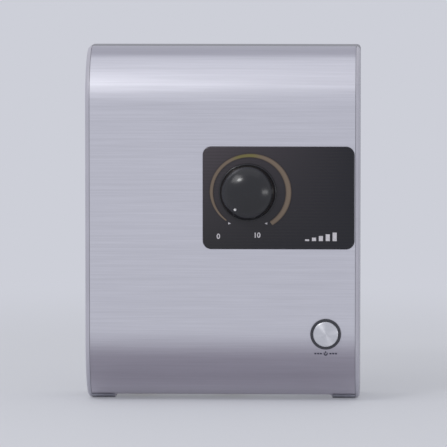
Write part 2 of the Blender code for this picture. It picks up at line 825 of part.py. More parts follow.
def notch():
    """Space under the cover between its two feet, with round corners."""
    outline = rounded(-RECESS_HALF, RECESS_HALF, NOTCH_Z - RECESS_HEIGHT, NOTCH_Z, NOTCH_ROUND)
    return prism(outline, RIM_Y + OVERRUN, FRONT_Y - OVERRUN, "Y")


def panel_outline(spare):
    left, right = PANEL_LEFT - spare, PANEL_RIGHT + spare
    return rounded(left, right, PANEL_LOW - spare, PANEL_TOP + spare, PANEL_CORNER + spare)


def board_posts():
    left, right = BOARD_LEFT + BOARD_MARGIN, BOARD_RIGHT - BOARD_MARGIN
    low, high = BOARD_LOW + BOARD_MARGIN, BOARD_HIGH - BOARD_MARGIN
    return [(left, high), (right, low), (left, low), (right, high)]


def cover_shell():
    """Moulded cover: cheeks at both sides and a sunk seat between them for the metal skin."""
    layers = []
    for i in range(CORNER_STEPS + 1):
        turn = math.pi / 2 * i / CORNER_STEPS
        x = HALF_WIDTH - EDGE_ROUND + EDGE_ROUND * math.cos(turn)
        layers.append((-x, roll_profile(EDGE_ROUND * (1 - math.sin(turn)))))
    layers += [(-x, outline) for x, outline in reversed(layers)]
    obj = solid("cover_shell", loft(layers, "X"), light_grey_plastic())
    half = HALF_WIDTH - EDGE_ROUND
    cut(obj, "skin_seat", [prism(roll_band(-OVERRUN, SEAT_DEPTH, OVERRUN), -half, half, "X")])
    half = HALF_WIDTH - SHELL_WALL
    cut(obj, "hollow", [prism(cover_hollow(), -half, half, "X")])
    additions = []
    for side in (-1, 1):
        x = side * LUG_X
        low = (x - LUG_WIDTH / 2, RIM_Y - SHELL_WALL + BITE, RECESS_FLOOR + GAP)
        high = (x + LUG_WIDTH / 2, RIM_Y + LUG_DEPTH, CLOSING_TOP - BITE)
        additions.append(block(low, high))
        x = side * TAB_X
        top = HALF_HEIGHT - CASE_WALL - GAP
        low = (x - TAB_WIDTH / 2, RIM_Y - TAB_ROOT, top - TAB_THICKNESS)
        additions.append(block(low, (x + TAB_WIDTH / 2, RIM_Y + TAB_REACH, top)))
    for place_xz in board_posts():
        post = rod(POST_RADIUS, INNER_FRONT_Y - BITE, INNER_FRONT_Y + BOARD_STANDOFF, place_xz, "Y")
        additions.append(post)
    join(obj, "fixings", additions)
    knob, button = (KNOB_X, KNOB_Z), (BUTTON_X, BUTTON_Z)
    through = (FRONT_Y - OVERRUN, INNER_FRONT_Y + OVERRUN)
    cuts = [notch()]
    cuts.append(rod(BUSH_RADIUS + GAP, *through, knob, "Y"))
    cuts.append(rod(BEZEL_HOLE, *through, button, "Y", ROUND_SIDES))
    for side in (-1, 1):
        start, end = RECESS_FLOOR - OVERRUN, RECESS_TOP + SCREW_LENGTH
        cuts.append(rod(SCREW_RADIUS + GAP, start, end, (side * LUG_X, LUG_Y), "Z"))
    for place_xz in board_posts()[:2]:
        start, end = INNER_FRONT_Y + BOARD_STANDOFF + OVERRUN, INNER_FRONT_Y
        cuts.append(rod(SCREW_RADIUS + GAP, start, end, place_xz, "Y"))
    cut(obj, "openings", cuts)


def cover_hollow():
    """Section of the room inside the cover, with a wall left behind its lower end."""
    floor = NOTCH_Z + SHELL_WALL
    points = [point for point in roll_profile(SHELL_WALL) if point[1] > floor]
    radius = COVER_DEPTH - SHELL_WALL
    drop = HALF_HEIGHT - COVER_DEPTH + floor
    lowest_y = RIM_Y - math.sqrt(radius * radius - drop * drop)
    behind = RIM_Y - SHELL_WALL
    open_y = RIM_Y + OVERRUN
    points += [(lowest_y, floor), (behind, floor), (behind, CLOSING_TOP), (open_y, CLOSING_TOP)]
    return points + [(open_y, HALF_HEIGHT - SHELL_WALL)]


def front_skin():
    """Brushed sheet that rolls over the top and bottom of the cover."""
    half = HALF_WIDTH - EDGE_ROUND - GAP
    shape = prism(roll_band(0, SKIN_THICKNESS, 0), -half, half, "X")
    obj = solid("front_skin", shape, brushed_silver())
    through = (SEAT_Y + OVERRUN, FRONT_Y - OVERRUN)
    cuts = [
        notch(),
        prism(panel_outline(GAP), *through, "Y"),
        rod(BEZEL_HOLE, *through, (BUTTON_X, BUTTON_Z), "Y", ROUND_SIDES),
    ]
    cut(obj, "openings", cuts)


def cover_screws():
    for number, side in enumerate((-1, 1), 1):
        length = SCREW_LENGTH - OVERRUN
        screw(f"cover_screw_{number}", (side * LUG_X, LUG_Y), RECESS_TOP, 1, "Z", length)


# Control

def control_panel():
    layers = [
        (PANEL_BACK_Y, panel_outline(0)),
        (PANEL_FRONT_Y + PANEL_BEVEL, panel_outline(0)),
        (PANEL_FRONT_Y, panel_outline(-PANEL_BEVEL)),
    ]
    obj = solid("control_panel", loft(layers, "Y"), black_gloss())
    hole = rod(BUSH_RADIUS + GAP, PANEL_BACK_Y + OVERRUN, PANEL_FRONT_Y - OVERRUN, (KNOB_X, KNOB_Z), "Y")
    cut(obj, "bush_hole", [hole])


def clock_point(radius, degrees):
    """Place round the knob, in degrees clockwise from the top as seen from the front."""
    turn = math.radians(degrees)
    return (KNOB_X + radius * math.sin(turn), KNOB_Z + radius * math.cos(turn))


def scale_ring():
    """Crescent scale, thin at off, that swells outwards on its right-hand side."""
    inner, outer = [], []
    for i in range(SCALE_STEPS + 1):
        share = i / SCALE_STEPS
        degrees = SCALE_FROM_DEG + SCALE_SWEEP_DEG * share
        way = min(1.0, abs(degrees - SCALE_SWELL_DEG) / SCALE_SWELL_REACH_DEG)
        swell = math.cos(way * math.pi / 2) ** 2
        width = SCALE_START_WIDTH + (SCALE_WIDTH - SCALE_START_WIDTH) * min(1.0, share / SCALE_START_SHARE)
        inner.append(clock_point(SCALE_INNER + SCALE_INNER_SWELL * swell, degrees))
        outer.append(clock_point(SCALE_INNER + width + SCALE_OUTER_SWELL * swell, degrees))
    back = PANEL_FRONT_Y - GAP
    shape = prism(outer + inner[::-1], back, back - SCALE_THICKNESS, "Y")
    solid("scale_ring", shape, amber_print(), (KNOB_X, back, KNOB_Z))


def knob_height(radius):
    """Height of the knob's dome over its back, at a distance from its axis."""
    rise = (1 - (radius / DOME_RADIUS) ** KNOB_POWER_SHARE) ** KNOB_ROUND_SHARE
    base = KNOB_SKIRT + KNOB_CHAMFER
    return base + (KNOB_DEPTH - base) * rise


def control_knob():
    centre = (KNOB_X, KNOB_Z)
    profile = [(0, KNOB_BACK_Y), (KNOB_RADIUS, KNOB_BACK_Y), (KNOB_RADIUS, KNOB_BACK_Y - KNOB_SKIRT)]
    profile.append((KNOB_RADIUS - KNOB_CHAMFER, KNOB_BACK_Y - KNOB_SKIRT - KNOB_CHAMFER))
    for share in KNOB_DOME_SHARES:
        radius = DOME_RADIUS * share
        profile.append((radius, KNOB_BACK_Y - knob_height(radius)))
    origin = (KNOB_X, KNOB_BACK_Y, KNOB_Z)
    obj = solid("control_knob", turned(profile, centre, "Y", ROUND_SIDES), black_gloss(), origin)
    bore = prism(shaft_outline(RUNNING), KNOB_BACK_Y + OVERRUN, shaft_tip() - GAP, "Y")
    x, z = clock_point(MARKER_OFFSET, SCALE_FROM_DEG)
    face = KNOB_BACK_Y - knob_height(MARKER_OFFSET)
    hole = rod(MARKER_RADIUS + GAP, face + MARKER_DEPTH, KNOB_BACK_Y - KNOB_DEPTH - OVERRUN, (x, z), "Y")
    cut(obj, "bores", [bore, hole])
    marker = rod(MARKER_RADIUS, face + MARKER_DEPTH - GAP, face, (x, z), "Y")
    solid("knob_marker", marker, white_paint(), origin)


def shaft_tip():
    return KNOB_BACK_Y - KNOB_DEPTH + KNOB_FLOOR


def shaft_outline(spare):
    """Circle with one flat, which keys the knob to its shaft."""
    radius, flat = SHAFT_RADIUS + spare, SHAFT_FLAT + spare
    lean = math.acos(flat / radius)
    outline = []
    for i in range(SMALL_SIDES + 1):
        turn = math.pi / 2 + lean + (2 * math.pi - 2 * lean) * i / SMALL_SIDES
        outline.append((KNOB_X + radius * math.cos(turn), KNOB_Z + radius * math.sin(turn)))
    return outline


def control_shaft():
    origin = (KNOB_X, KNOB_BACK_Y, KNOB_Z)
    back = BOARD_FRONT_Y - GAP
    shape = rod(SHAFT_RADIUS, back, shaft_tip(), (KNOB_X, KNOB_Z), "Y", ROUND_SIDES)
    obj = solid("control_shaft", shape, steel(), origin)
    low = (KNOB_X - SHAFT_RADIUS - OVERRUN, shaft_tip() - OVERRUN, KNOB_Z + SHAFT_FLAT)
    high = (KNOB_X + SHAFT_RADIUS + OVERRUN, KNOB_BACK_Y + KNOB_LIFT / 2, KNOB_Z + SHAFT_RADIUS + OVERRUN)
    cut(obj, "flat", [block(low, high)])


def potentiometer():
    """Rotary control on the board, whose bush passes through the shell and the panel."""
    back, front = BOARD_FRONT_Y - GAP, INNER_FRONT_Y + GAP
    tip = PANEL_FRONT_Y + GAP
    bore = SHAFT_RADIUS + RUNNING
    profile = [(bore, back), (POT_RADIUS, back), (POT_RADIUS, front), (BUSH_RADIUS, front)]
    profile += [(BUSH_RADIUS, tip), (bore, tip)]
    shape = turned(profile, (KNOB_X, KNOB_Z), "Y", ROUND_SIDES)
    solid("potentiometer", shape, steel(), (KNOB_X, back, KNOB_Z))


def control_board():
    low = (BOARD_LEFT, BOARD_FRONT_Y, BOARD_LOW)
    high = (BOARD_RIGHT, BOARD_BACK_Y, BOARD_HIGH)
    obj = solid("control_board", block(low, high), board_green())
    span = (BOARD_FRONT_Y - OVERRUN, BOARD_BACK_Y + OVERRUN)
    places = board_posts()[:2]
    cut(obj, "screw_holes", [rod(SCREW_RADIUS + GAP, *span, centre, "Y") for centre in places])
    for number, centre in enumerate(places, 1):
        length = BOARD_THICKNESS + GAP + BOARD_STANDOFF - OVERRUN / 2
        screw(f"board_screw_{number}", centre, BOARD_BACK_Y, -1, "Y", length)


# Test button and breaker

def test_button():
    """Chrome cap with a stem that reaches back to the breaker."""
    centre, origin = (BUTTON_X, BUTTON_Z), (BUTTON_X, CAP_BACK_Y, BUTTON_Z)
    edge = BEZEL_FRONT_Y - BUTTON_PROUD
    profile = [(BUTTON_RADIUS * out, edge - BUTTON_DOME * rise) for out, rise in BUTTON_DOME_SHARES]
    profile += [
        (BUTTON_RADIUS, CAP_BACK_Y),
        (STEM_RADIUS, CAP_BACK_Y),
        (STEM_RADIUS, KEY_FRONT_Y - GAP),
        (0, KEY_FRONT_Y - GAP),
    ]
    solid("test_button", turned(profile, centre, "Y", ROUND_SIDES), chrome(), origin)
    ring = collar(
        STEM_RADIUS + RUNNING,
        CLIP_RADIUS,
        SLEEVE_BACK_Y + GAP,
        SLEEVE_BACK_Y + GAP + CLIP_THICKNESS,
        centre,
        "Y",
    )
    solid("button_clip", ring, steel(), origin)
    start, end = CAP_BACK_Y + GAP + SPRING_WIRE, WEB_FRONT_Y - GAP - SPRING_WIRE
    points = coil(centre, SPRING_RADIUS, start, end, BUTTON_SPRING_TURNS, "Y")
    strand("button_spring", points, SPRING_WIRE, steel())


def button_bezel():
    """Sleeve with a front lip and a rear web that guides the stem, held by a nut behind the shell."""
    centre = (BUTTON_X, BUTTON_Z)
    lip_back = FRONT_Y - GAP
    stem_bore = STEM_RADIUS + RUNNING
    profile = [
        (SLEEVE_BORE, BEZEL_FRONT_Y),
        (BEZEL_RADIUS, BEZEL_FRONT_Y),
        (BEZEL_RADIUS, lip_back),
        (SLEEVE_RADIUS, lip_back),
        (SLEEVE_RADIUS, SLEEVE_BACK_Y),
        (stem_bore, SLEEVE_BACK_Y),
        (stem_bore, WEB_FRONT_Y),
        (SLEEVE_BORE, WEB_FRONT_Y),
    ]
    solid("button_bezel", turned(profile, centre, "Y", ROUND_SIDES), black_gloss())
    start = INNER_FRONT_Y + 2 * GAP
    nut = collar(BEZEL_HOLE, BEZEL_HOLE + NUT_FLANGE, start, start + NUT_THICKNESS, centre, "Y")
    solid("button_nut", nut, black_plastic())


def breaker_body():
    """Leakage breaker with a pocket for its test key and a slot for its lever."""
    low = (BREAKER_LEFT, BREAKER_FRONT_Y, BREAKER_LOW)
    obj = solid("breaker_body", block(low, (BREAKER_RIGHT, SEATED_Y, BREAKER_HIGH)), white_plastic())
    half = KEY_WIDTH / 2 + GAP
    depth = KEY_DEPTH + BUTTON_TRAVEL + KEY_OVERTRAVEL
    low = (BUTTON_X - half, BREAKER_FRONT_Y - OVERRUN, BUTTON_Z - half)
    key_pocket = block(low, (BUTTON_X + half, BREAKER_FRONT_Y + depth, BUTTON_Z + half))
    half, room = LEVER_WIDTH / 2 + GAP, LEVER_BARREL + 2 * GAP
    low = (LEVER_X - half, BREAKER_FRONT_Y - OVERRUN, LEVER_Z - room)
    lever_slot = block(low, (LEVER_X + half, LEVER_Y + room, LEVER_Z + room))
    cut(obj, "pockets", [key_pocket, lever_slot])


def breaker_test_key():
    half = KEY_WIDTH / 2
    low = (BUTTON_X - half, KEY_FRONT_Y, BUTTON_Z - half)
    high = (BUTTON_X + half, BREAKER_FRONT_Y + KEY_DEPTH, BUTTON_Z + half)
    solid("breaker_test_key", block(low, high), rubber(), (BUTTON_X, KEY_FRONT_Y, BUTTON_Z))


def breaker_lever():
    """Barrel on the pivot and a handle that leans up while the breaker is on."""
    half, thick = LEVER_WIDTH / 2, LEVER_THICKNESS / 2
    tilt = math.radians(LEVER_TILT_DEG)
    lean = math.asin(thick / LEVER_BARREL)
    outline = []
    for i in range(SMALL_SIDES + 1):
        turn = lean + (2 * math.pi - 2 * lean) * i / SMALL_SIDES
        outline.append((LEVER_BARREL * math.cos(turn), LEVER_BARREL * math.sin(turn)))
    outline += [(LEVER_LENGTH, -thick), (LEVER_LENGTH, thick)]
    turned_outline = []
    for forward, up in outline:
        y = -forward * math.cos(tilt) + up * math.sin(tilt)
        z = forward * math.sin(tilt) + up * math.cos(tilt)
        turned_outline.append((LEVER_Y + y, LEVER_Z + z))
    shape = prism(turned_outline, LEVER_X - half, LEVER_X + half, "X")
    solid("breaker_lever", shape, black_plastic(), (LEVER_X, LEVER_Y, LEVER_Z))


# Terminals, cable entry and power stage

def terminal_block():
    low = (TERMINAL_LEFT, TERMINAL_FRONT_Y, TERMINAL_LOW)
    obj = solid("terminal_block", block(low, (BREAKER_RIGHT, SEATED_Y, TERMINAL_HIGH)), white_plastic())
    middle = (TERMINAL_LOW + TERMINAL_HIGH) / 2
    pockets = []
    for number in range(TERMINAL_COUNT):
        x = terminal_x(number)
        start, end = TERMINAL_FRONT_Y - OVERRUN, TERMINAL_FRONT_Y + TERMINAL_SCREW_DEPTH
        pockets.append(rod(SCREW_RADIUS + GAP, start, end, (x, middle), "Y"))
        length = TERMINAL_SCREW_DEPTH - GAP
        screw(f"terminal_screw_{number + 1}", (x, middle), TERMINAL_FRONT_Y, 1, "Y", length)
    cut(obj, "screw_holes", pockets)


def terminal_x(number):
    return TERMINAL_LEFT + TERMINAL_WIDTH * (number + 0.5) / TERMINAL_COUNT


def cable_grommet():
    """Rubber bush in the recess roof, open for a supply cable."""
    top, bottom = RECESS_FLOOR + GAP, RECESS_TOP - GAP
    profile = [
        (GROMMET_BORE, top + GROMMET_LIP),
        (GROMMET_FLANGE, top + GROMMET_LIP),
        (GROMMET_FLANGE, top),
        (GROMMET_NECK, top),
        (GROMMET_NECK, bottom),
        (GROMMET_FLANGE, bottom),
        (GROMMET_FLANGE, bottom - GROMMET_LIP),
        (GROMMET_BORE, bottom - GROMMET_LIP),
    ]
    solid("cable_grommet", turned(profile, (GROMMET_X, TAIL_Y), "Z", ROUND_SIDES), rubber())


def cable_clamp():
    """Strain relief above the grommet, through which a cable passes."""
    half = CLAMP_WIDTH / 2
    low = (GROMMET_X - half, SEATED_Y - CLAMP_DEPTH, CLAMP_LOW)
    obj = solid("cable_clamp", block(low, (GROMMET_X + half, SEATED_Y, CLAMP_LOW + CLAMP_HEIGHT)), white_plastic())
    start, end = CLAMP_LOW - OVERRUN, CLAMP_LOW + CLAMP_HEIGHT + OVERRUN
    cut(obj, "bore", [rod(GROMMET_BORE + GAP, start, end, (GROMMET_X, TAIL_Y), "Z")])


def heat_sink():
    """Finned plate that cools the power switch."""
    fins_left = SINK_LEFT + TRIAC_BAY
    pitch = (SINK_LEFT + SINK_WIDTH - SINK_FIN - fins_left) / (SINK_FINS - 1)
    tip = SINK_FRONT_Y - SINK_FIN_HEIGHT
    outline = [(SINK_LEFT, SEATED_Y), (SINK_LEFT, SINK_FRONT_Y)]
    for number in range(SINK_FINS):
        x = fins_left + pitch * number
        outline += [(x, SINK_FRONT_Y), (x, tip), (x + SINK_FIN, tip), (x + SINK_FIN, SINK_FRONT_Y)]
    outline[-1] = (SINK_LEFT + SINK_WIDTH, SEATED_Y)
    obj = solid("heat_sink", prism(outline, SINK_LOW, SINK_LOW + SINK_HEIGHT, "Z"), aluminium())
    cut(obj, "screw_hole", [rod(SCREW_RADIUS + GAP, tip, SEATED_Y + OVERRUN, triac_screw_place(), "Y")])


def triac_screw_place():
    return (SINK_LEFT + TRIAC_BAY / 2, SINK_LOW + TRIAC_RISE + TRIAC_HEIGHT * TRIAC_HOLE_SHARE)


def triac():
    """Power switch screwed flat to the heat sink."""
    x = SINK_LEFT + TRIAC_BAY / 2
    back = SINK_FRONT_Y - GAP
    low = (x - TRIAC_WIDTH / 2, back - TRIAC_THICKNESS, SINK_LOW + TRIAC_RISE)
    high = (x + TRIAC_WIDTH / 2, back, SINK_LOW + TRIAC_RISE + TRIAC_HEIGHT)
    obj = solid("triac", block(low, high), rubber())
    hole = rod(SCREW_RADIUS + GAP, low[1] - OVERRUN, back + OVERRUN, triac_screw_place(), "Y")
    cut(obj, "screw_hole", [hole])
    length = TRIAC_THICKNESS + SINK_PLATE
    screw("triac_screw", triac_screw_place(), low[1], 1, "Y", length)


# Heating tank

def tank_body():
    """Upright vessel with its inlet at the side near the bottom."""
    inner = TANK_RADIUS - TANK_WALL
    round_in = TANK_WALL * 2
    profile = [
        (0, TANK_LOW),
        (TANK_RADIUS - round_in, TANK_LOW),
        (TANK_RADIUS, TANK_LOW + round_in),
        (TANK_RADIUS, TANK_HIGH),
        (inner, TANK_HIGH),
        (inner, TANK_LOW + round_in),
        (inner - TANK_WALL, TANK_LOW + TANK_WALL),
        (0, TANK_LOW + TANK_WALL),
    ]
    centre = (TANK_X, TANK_Y)
    obj = solid("tank_body", turned(profile, centre, "Z", ROUND_SIDES), steel(), (TANK_X, TANK_Y, TANK_LOW))
    spot = (TAIL_Y, STUB_Z)
    join(obj, "stub", [rod(STUB_RADIUS, STUB_ROOT_X, STUB_END_X, spot, "X", TUBE_SIDES)])
    bore = rod(STUB_BORE, STUB_ROOT_X - OVERRUN, STUB_END_X + OVERRUN, spot, "X", TUBE_SIDES)
    cut(obj, "stub_bore", [bore])


def tank_lid():
    """Screw-on lid, with holes for the outlet pipe and the two ends of the element."""
    skirt_low = TANK_HIGH - LID_SKIRT
    profile = [
        (0, LID_TOP_Z),
        (LID_OUTER - LID_WALL, LID_TOP_Z),
        (LID_OUTER, LID_TOP_Z - LID_WALL),
        (LID_OUTER, skirt_low),
        (LID_INNER, skirt_low),
        (LID_INNER, TANK_HIGH + GAP),
        (0, TANK_HIGH + GAP),
    ]
    obj = solid("tank_lid", turned(profile, (TANK_X, TANK_Y), "Z", ROUND_SIDES), steel())
    span = (TANK_HIGH - OVERRUN, LID_TOP_Z + OVERRUN)
    holes = [rod(PIPE_RADIUS + GAP, *span, (PIPE_START_X, TANK_Y), "Z")]
    for x in (TANK_X, TANK_X + ELEMENT_COIL_RADIUS):
        holes.append(rod(ELEMENT_WIRE + GAP, *span, (x, TANK_Y), "Z"))
    cut(obj, "holes", holes)


def element_top():
    return LID_TOP_Z + ELEMENT_PIN_RISE


def heating_element():
    """Sheathed element: down one side, round in a coil, and back up the middle."""
    top = element_top()
    points = [(TANK_X + ELEMENT_COIL_RADIUS, TANK_Y, top)]
    turns = coil((TANK_X, TANK_Y), ELEMENT_COIL_RADIUS, ELEMENT_TOP, ELEMENT_BOTTOM, ELEMENT_TURNS, "Z")
    points += turns
    drop = ELEMENT_WIRE * ELEMENT_FOOT_SHARE
    foot = ELEMENT_BOTTOM - drop
    last = turns[-1]
    middle = (TANK_X, TANK_Y, ELEMENT_BOTTOM)
    points += bezier(last, (last[0], TANK_Y + drop, foot), (TANK_X, TANK_Y, foot), middle, COIL_STEPS)[1:]
    points.append((TANK_X, TANK_Y, top))
    strand("heating_element", points, ELEMENT_WIRE, copper(), 2)


def tank_strap(name, low):
    """Band round the front of the tank, with an ear at each side on the base."""
    inner, outer = LID_INNER, LID_INNER + STRAP_THICKNESS
    seat = BOSS_Y - GAP
    front = [(math.pi + math.pi * i / SMALL_SIDES) for i in range(SMALL_SIDES + 1)]
    outside = [(TANK_X + outer * math.cos(t), TANK_Y + outer * math.sin(t)) for t in front]
    inside = [(TANK_X + inner * math.cos(t), TANK_Y + inner * math.sin(t)) for t in front]
    ear = seat - STRAP_THICKNESS
    outline = [(TANK_X - inner, seat), (TANK_X - outer - STRAP_EAR, seat)]
    outline += [(TANK_X - outer - STRAP_EAR, ear), (TANK_X - outer, ear)]
    outline += outside
    outline += [(TANK_X + outer, ear), (TANK_X + outer + STRAP_EAR, ear)]
    outline += [(TANK_X + outer + STRAP_EAR, seat), (TANK_X + inner, seat)]
    outline += inside[::-1]
    obj = solid(name, prism(outline, low, low + STRAP_HEIGHT, "Z"), steel())
    span = (ear - OVERRUN, seat + OVERRUN)
    holes = []
    for places in (boss_places(), peg_places()):
        x = places[0][0]
        holes.append(rod(SCREW_RADIUS + 2 * GAP, *span, (x, strap_middle(low)), "Y"))
    cut(obj, "holes", holes)


def tank_straps():
    for name, low in (("upper", STRAP_UPPER_Z), ("lower", STRAP_LOWER_Z)):
        tank_strap(f"tank_strap_{name}", low)
        seat = BOSS_Y - GAP - STRAP_THICKNESS
        centre = (boss_places()[0][0], strap_middle(low))
        length = STRAP_THICKNESS + BOSS_HEIGHT
        screw(f"strap_screw_{name}", centre, seat, 1, "Y", length)


def thermal_cutout():
    """Round overheat switch on the tank's side, with a reset pin that pops out."""
    centre = (TANK_Y, CUTOUT_Z)
    socket = CUTOUT_FRONT_X - CUTOUT_DEPTH * RESET_DEPTH_SHARE
    profile = [
        (0, CUTOUT_BACK_X),
        (CUTOUT_RADIUS, CUTOUT_BACK_X),
        (CUTOUT_RADIUS, CUTOUT_FRONT_X),
        (RESET_RADIUS + RUNNING, CUTOUT_FRONT_X),
        (RESET_RADIUS + RUNNING, socket),
        (0, socket),
    ]
    shape = turned(profile, centre, "X", ROUND_SIDES)
    solid("thermal_cutout", shape, black_plastic(), (CUTOUT_BACK_X, TANK_Y, CUTOUT_Z))
    pin = rod(RESET_RADIUS, socket + GAP, CUTOUT_FRONT_X + RESET_RISE, centre, "X", ROUND_SIDES)
    solid("cutout_reset_pin", pin, brass(), (CUTOUT_FRONT_X, TANK_Y, CUTOUT_Z))


# Water connections

def hexagon(centre):
    radius = HEX_FLATS / math.sqrt(3)
    turns = [math.pi / 3 * i for i in range(6)]
    return [(centre[0] + radius * math.cos(t), centre[1] + radius * math.sin(t)) for t in turns]


def threaded_tail(name, x, bore, neck, neck_height):
    """Pipe connection through the recess roof, with its hexagon nut below."""
    centre = (x, TAIL_Y)
    flange_low = RECESS_FLOOR + GAP
    lead = BITE
    profile = [
        (bore, TAIL_LOW),
        (TAIL_RADIUS - lead, TAIL_LOW),
        (TAIL_RADIUS, TAIL_LOW + lead),
        (TAIL_RADIUS, flange_low),
        (TAIL_FLANGE, flange_low),
        (TAIL_FLANGE, TAIL_TOP),
        (neck, TAIL_TOP),
        (neck, TAIL_TOP + neck_height),
        (bore, TAIL_TOP + neck_height),
    ]
    if not neck_height:
        profile = profile[:6] + [(bore, TAIL_TOP)]
    solid(f"{name}_tail", turned(profile, centre, "Z", ROUND_SIDES), brass(), (x, TAIL_Y, TAIL_LOW))
    top = RECESS_TOP - GAP
    nut = solid(f"{name}_nut", prism(hexagon(centre), top - HEX_HEIGHT, top, "Z"), brass())
    span = (top - HEX_HEIGHT - OVERRUN, top + OVERRUN)
    cut(nut, "bore", [rod(TAIL_RADIUS + GAP, *span, centre, "Z", ROUND_SIDES)])


def water_tails():
    threaded_tail("outlet", OUTLET_X, OUTLET_BORE, OUTLET_NECK, OUTLET_NECK_HEIGHT)
    threaded_tail("inlet", INLET_X, TAIL_BORE, TAIL_BORE, 0)


def inlet_filter():
    """Thimble strainer in the inlet's bore, open towards the supply."""
    outer = TAIL_BORE - 2 * RUNNING
    inner = outer - FILTER_WALL
    top = TAIL_TOP - GAP
    low = top - FILTER_LENGTH
    profile = [(0, top), (inner, top), (outer, top - FILTER_WALL), (outer, low), (inner, low)]
    profile += [(inner, top - FILTER_WALL * 2), (0, top - FILTER_WALL * 2)]
    solid("inlet_filter", turned(profile, (INLET_X, TAIL_Y), "Z", ROUND_SIDES), steel())


def outlet_pipe():
    """From the tank's lid over to the side, down beside the tank and across to the outlet."""
    bend = (PIPE_START_X - PIPE_X) / 2
    route = [(PIPE_START_X, TANK_Y, TANK_HIGH - PIPE_DIP), (PIPE_START_X, TANK_Y, PIPE_BEND_Z)]
    for i in range(1, ROUTE_STEPS):
        turn = math.pi * i / ROUTE_STEPS
        route.append((PIPE_X + bend + bend * math.cos(turn), TANK_Y, PIPE_BEND_Z + bend * math.sin(turn)))
    route.append((PIPE_X, TANK_Y, PIPE_BEND_Z))
    foot = TAIL_TOP + OUTLET_NECK_HEIGHT + GAP
    ends = [(OUTLET_X, TAIL_Y, foot + PIPE_RADIUS * share) for share in PIPE_END_SHARES]
    end = ends[0]
    start = (PIPE_X, TANK_Y, PIPE_DROP_Z)
    reach = (start[2] - end[2]) * PIPE_REACH_SHARE
    handles = ((PIPE_X, TANK_Y, start[2] - reach), (OUTLET_X, TAIL_Y, end[2] + reach))
    route += bezier(start, *handles, end) + ends[1:]
    solid("outlet_pipe", pipe(route, PIPE_RADIUS, PIPE_BORE), copper())


def inlet_block():
    """Brass body that leads the water past the regulator to the flow switch."""
    low = (BLOCK_LEFT, BLOCK_FRONT, BLOCK_LOW)
    obj = solid("inlet_block", block(low, (BLOCK_RIGHT, BLOCK_REAR, BLOCK_TOP)), brass())
    through = (BLOCK_LOW - OVERRUN, BLOCK_TOP + OVERRUN)
    cut(obj, "bore", [rod(BLOCK_BORE, *through, (INLET_X, TAIL_Y), "Z")])
    seat = BLOCK_LOW + SPINDLE_DEPTH
    regulator = rod(SPINDLE_RADIUS + RUNNING, BLOCK_LOW - OVERRUN, seat, (SPINDLE_X, TAIL_Y), "Z", ROUND_SIDES)
    cut(obj, "regulator_bore", [regulator])
    level = seat - CROSS_BORE
    cross = rod(CROSS_BORE, SPINDLE_X, INLET_X, (TAIL_Y, level), "X", TUBE_SIDES)
    cut(obj, "cross_bore", [cross])


def regulator_spindle():
    """Flow regulator that is turned by its ribbed grip under the recess roof."""
    grip_top = RECESS_TOP - SPINDLE_GRIP_DROP
    grip_low = grip_top - SPINDLE_GRIP_HEIGHT
    tip = BLOCK_LOW + SPINDLE_DEPTH - GAP
    profile = [
        (0, grip_low),
        (SPINDLE_GRIP - BITE, grip_low),
        (SPINDLE_GRIP, grip_low + BITE),
        (SPINDLE_GRIP, grip_top),
        (SPINDLE_RADIUS, grip_top),
        (SPINDLE_RADIUS, tip),
        (0, tip),
    ]
    origin = (SPINDLE_X, TAIL_Y, grip_low)
    shape = turned(profile, (SPINDLE_X, TAIL_Y), "Z", ROUND_SIDES)
    obj = solid("regulator_spindle", shape, black_plastic(), origin)
    low = (SPINDLE_X - SPINDLE_GRIP - OVERRUN, TAIL_Y - SLOT_WIDTH / 2, grip_low - OVERRUN)
    high = (SPINDLE_X + SPINDLE_GRIP + OVERRUN, TAIL_Y + SLOT_WIDTH / 2, grip_low + SLOT_DEPTH * 2)
    cut(obj, "slot", [block(low, high)])


def flow_switch():
    """Housing with a spring-loaded piston that flowing water lifts past the reed switch."""
    centre = (INLET_X, TAIL_Y)
    seat = HOUSING_LOW + HOUSING_SEAT
    profile = [
        (0, HOUSING_TOP),
        (HOUSING_RADIUS, HOUSING_TOP),
        (HOUSING_RADIUS, HOUSING_LOW),
        (HOUSING_PORT, HOUSING_LOW),
        (HOUSING_PORT, seat),
        (HOUSING_BORE, seat),
        (HOUSING_BORE, SPRING_CEILING),
        (0, SPRING_CEILING),
    ]
    obj = solid("flow_housing", turned(profile, centre, "Z", ROUND_SIDES), white_plastic())
    root = INLET_X - HOUSING_BORE
    spot = (TAIL_Y, STUB_Z)
    join(obj, "stub", [rod(STUB_RADIUS, HOUSING_STUB_X, root - GAP, spot, "X", TUBE_SIDES)])
    cut(obj, "stub_bore", [rod(STUB_BORE, HOUSING_STUB_X - OVERRUN, root + OVERRUN, spot, "X", TUBE_SIDES)])
    origin = (INLET_X, TAIL_Y, PISTON_LOW)
    solid("flow_piston", rod(PISTON_RADIUS, PISTON_LOW, PISTON_TOP, centre, "Z", ROUND_SIDES), rubber(), origin)
    start, end = PISTON_TOP + GAP + SPRING_WIRE, SPRING_CEILING - GAP - SPRING_WIRE
    points = coil(centre, FLOW_SPRING_RADIUS, start, end, FLOW_SPRING_TURNS, "Z")
    strand("flow_spring", points, SPRING_WIRE, steel())
    left = INLET_X + HOUSING_RADIUS + GAP
    low = (left, TAIL_Y - REED_DEPTH / 2, REED_Z - REED_HEIGHT / 2)
    high = (left + REED_WIDTH, TAIL_Y + REED_DEPTH / 2, REED_Z + REED_HEIGHT / 2)
    solid("reed_switch", block(low, high), black_plastic())


def inlet_hose():
    """Rubber sleeve over both stubs."""
    inner = STUB_RADIUS + GAP
    start, end = STUB_END_X - HOSE_OVERLAP, HOUSING_STUB_X + HOSE_OVERLAP
    shape = collar(inner, inner + HOSE_WALL, start, end, (TAIL_Y, STUB_Z), "X")
    solid("inlet_hose", shape, rubber())


# Wires, each given by its two ends and the directions in which it leaves them

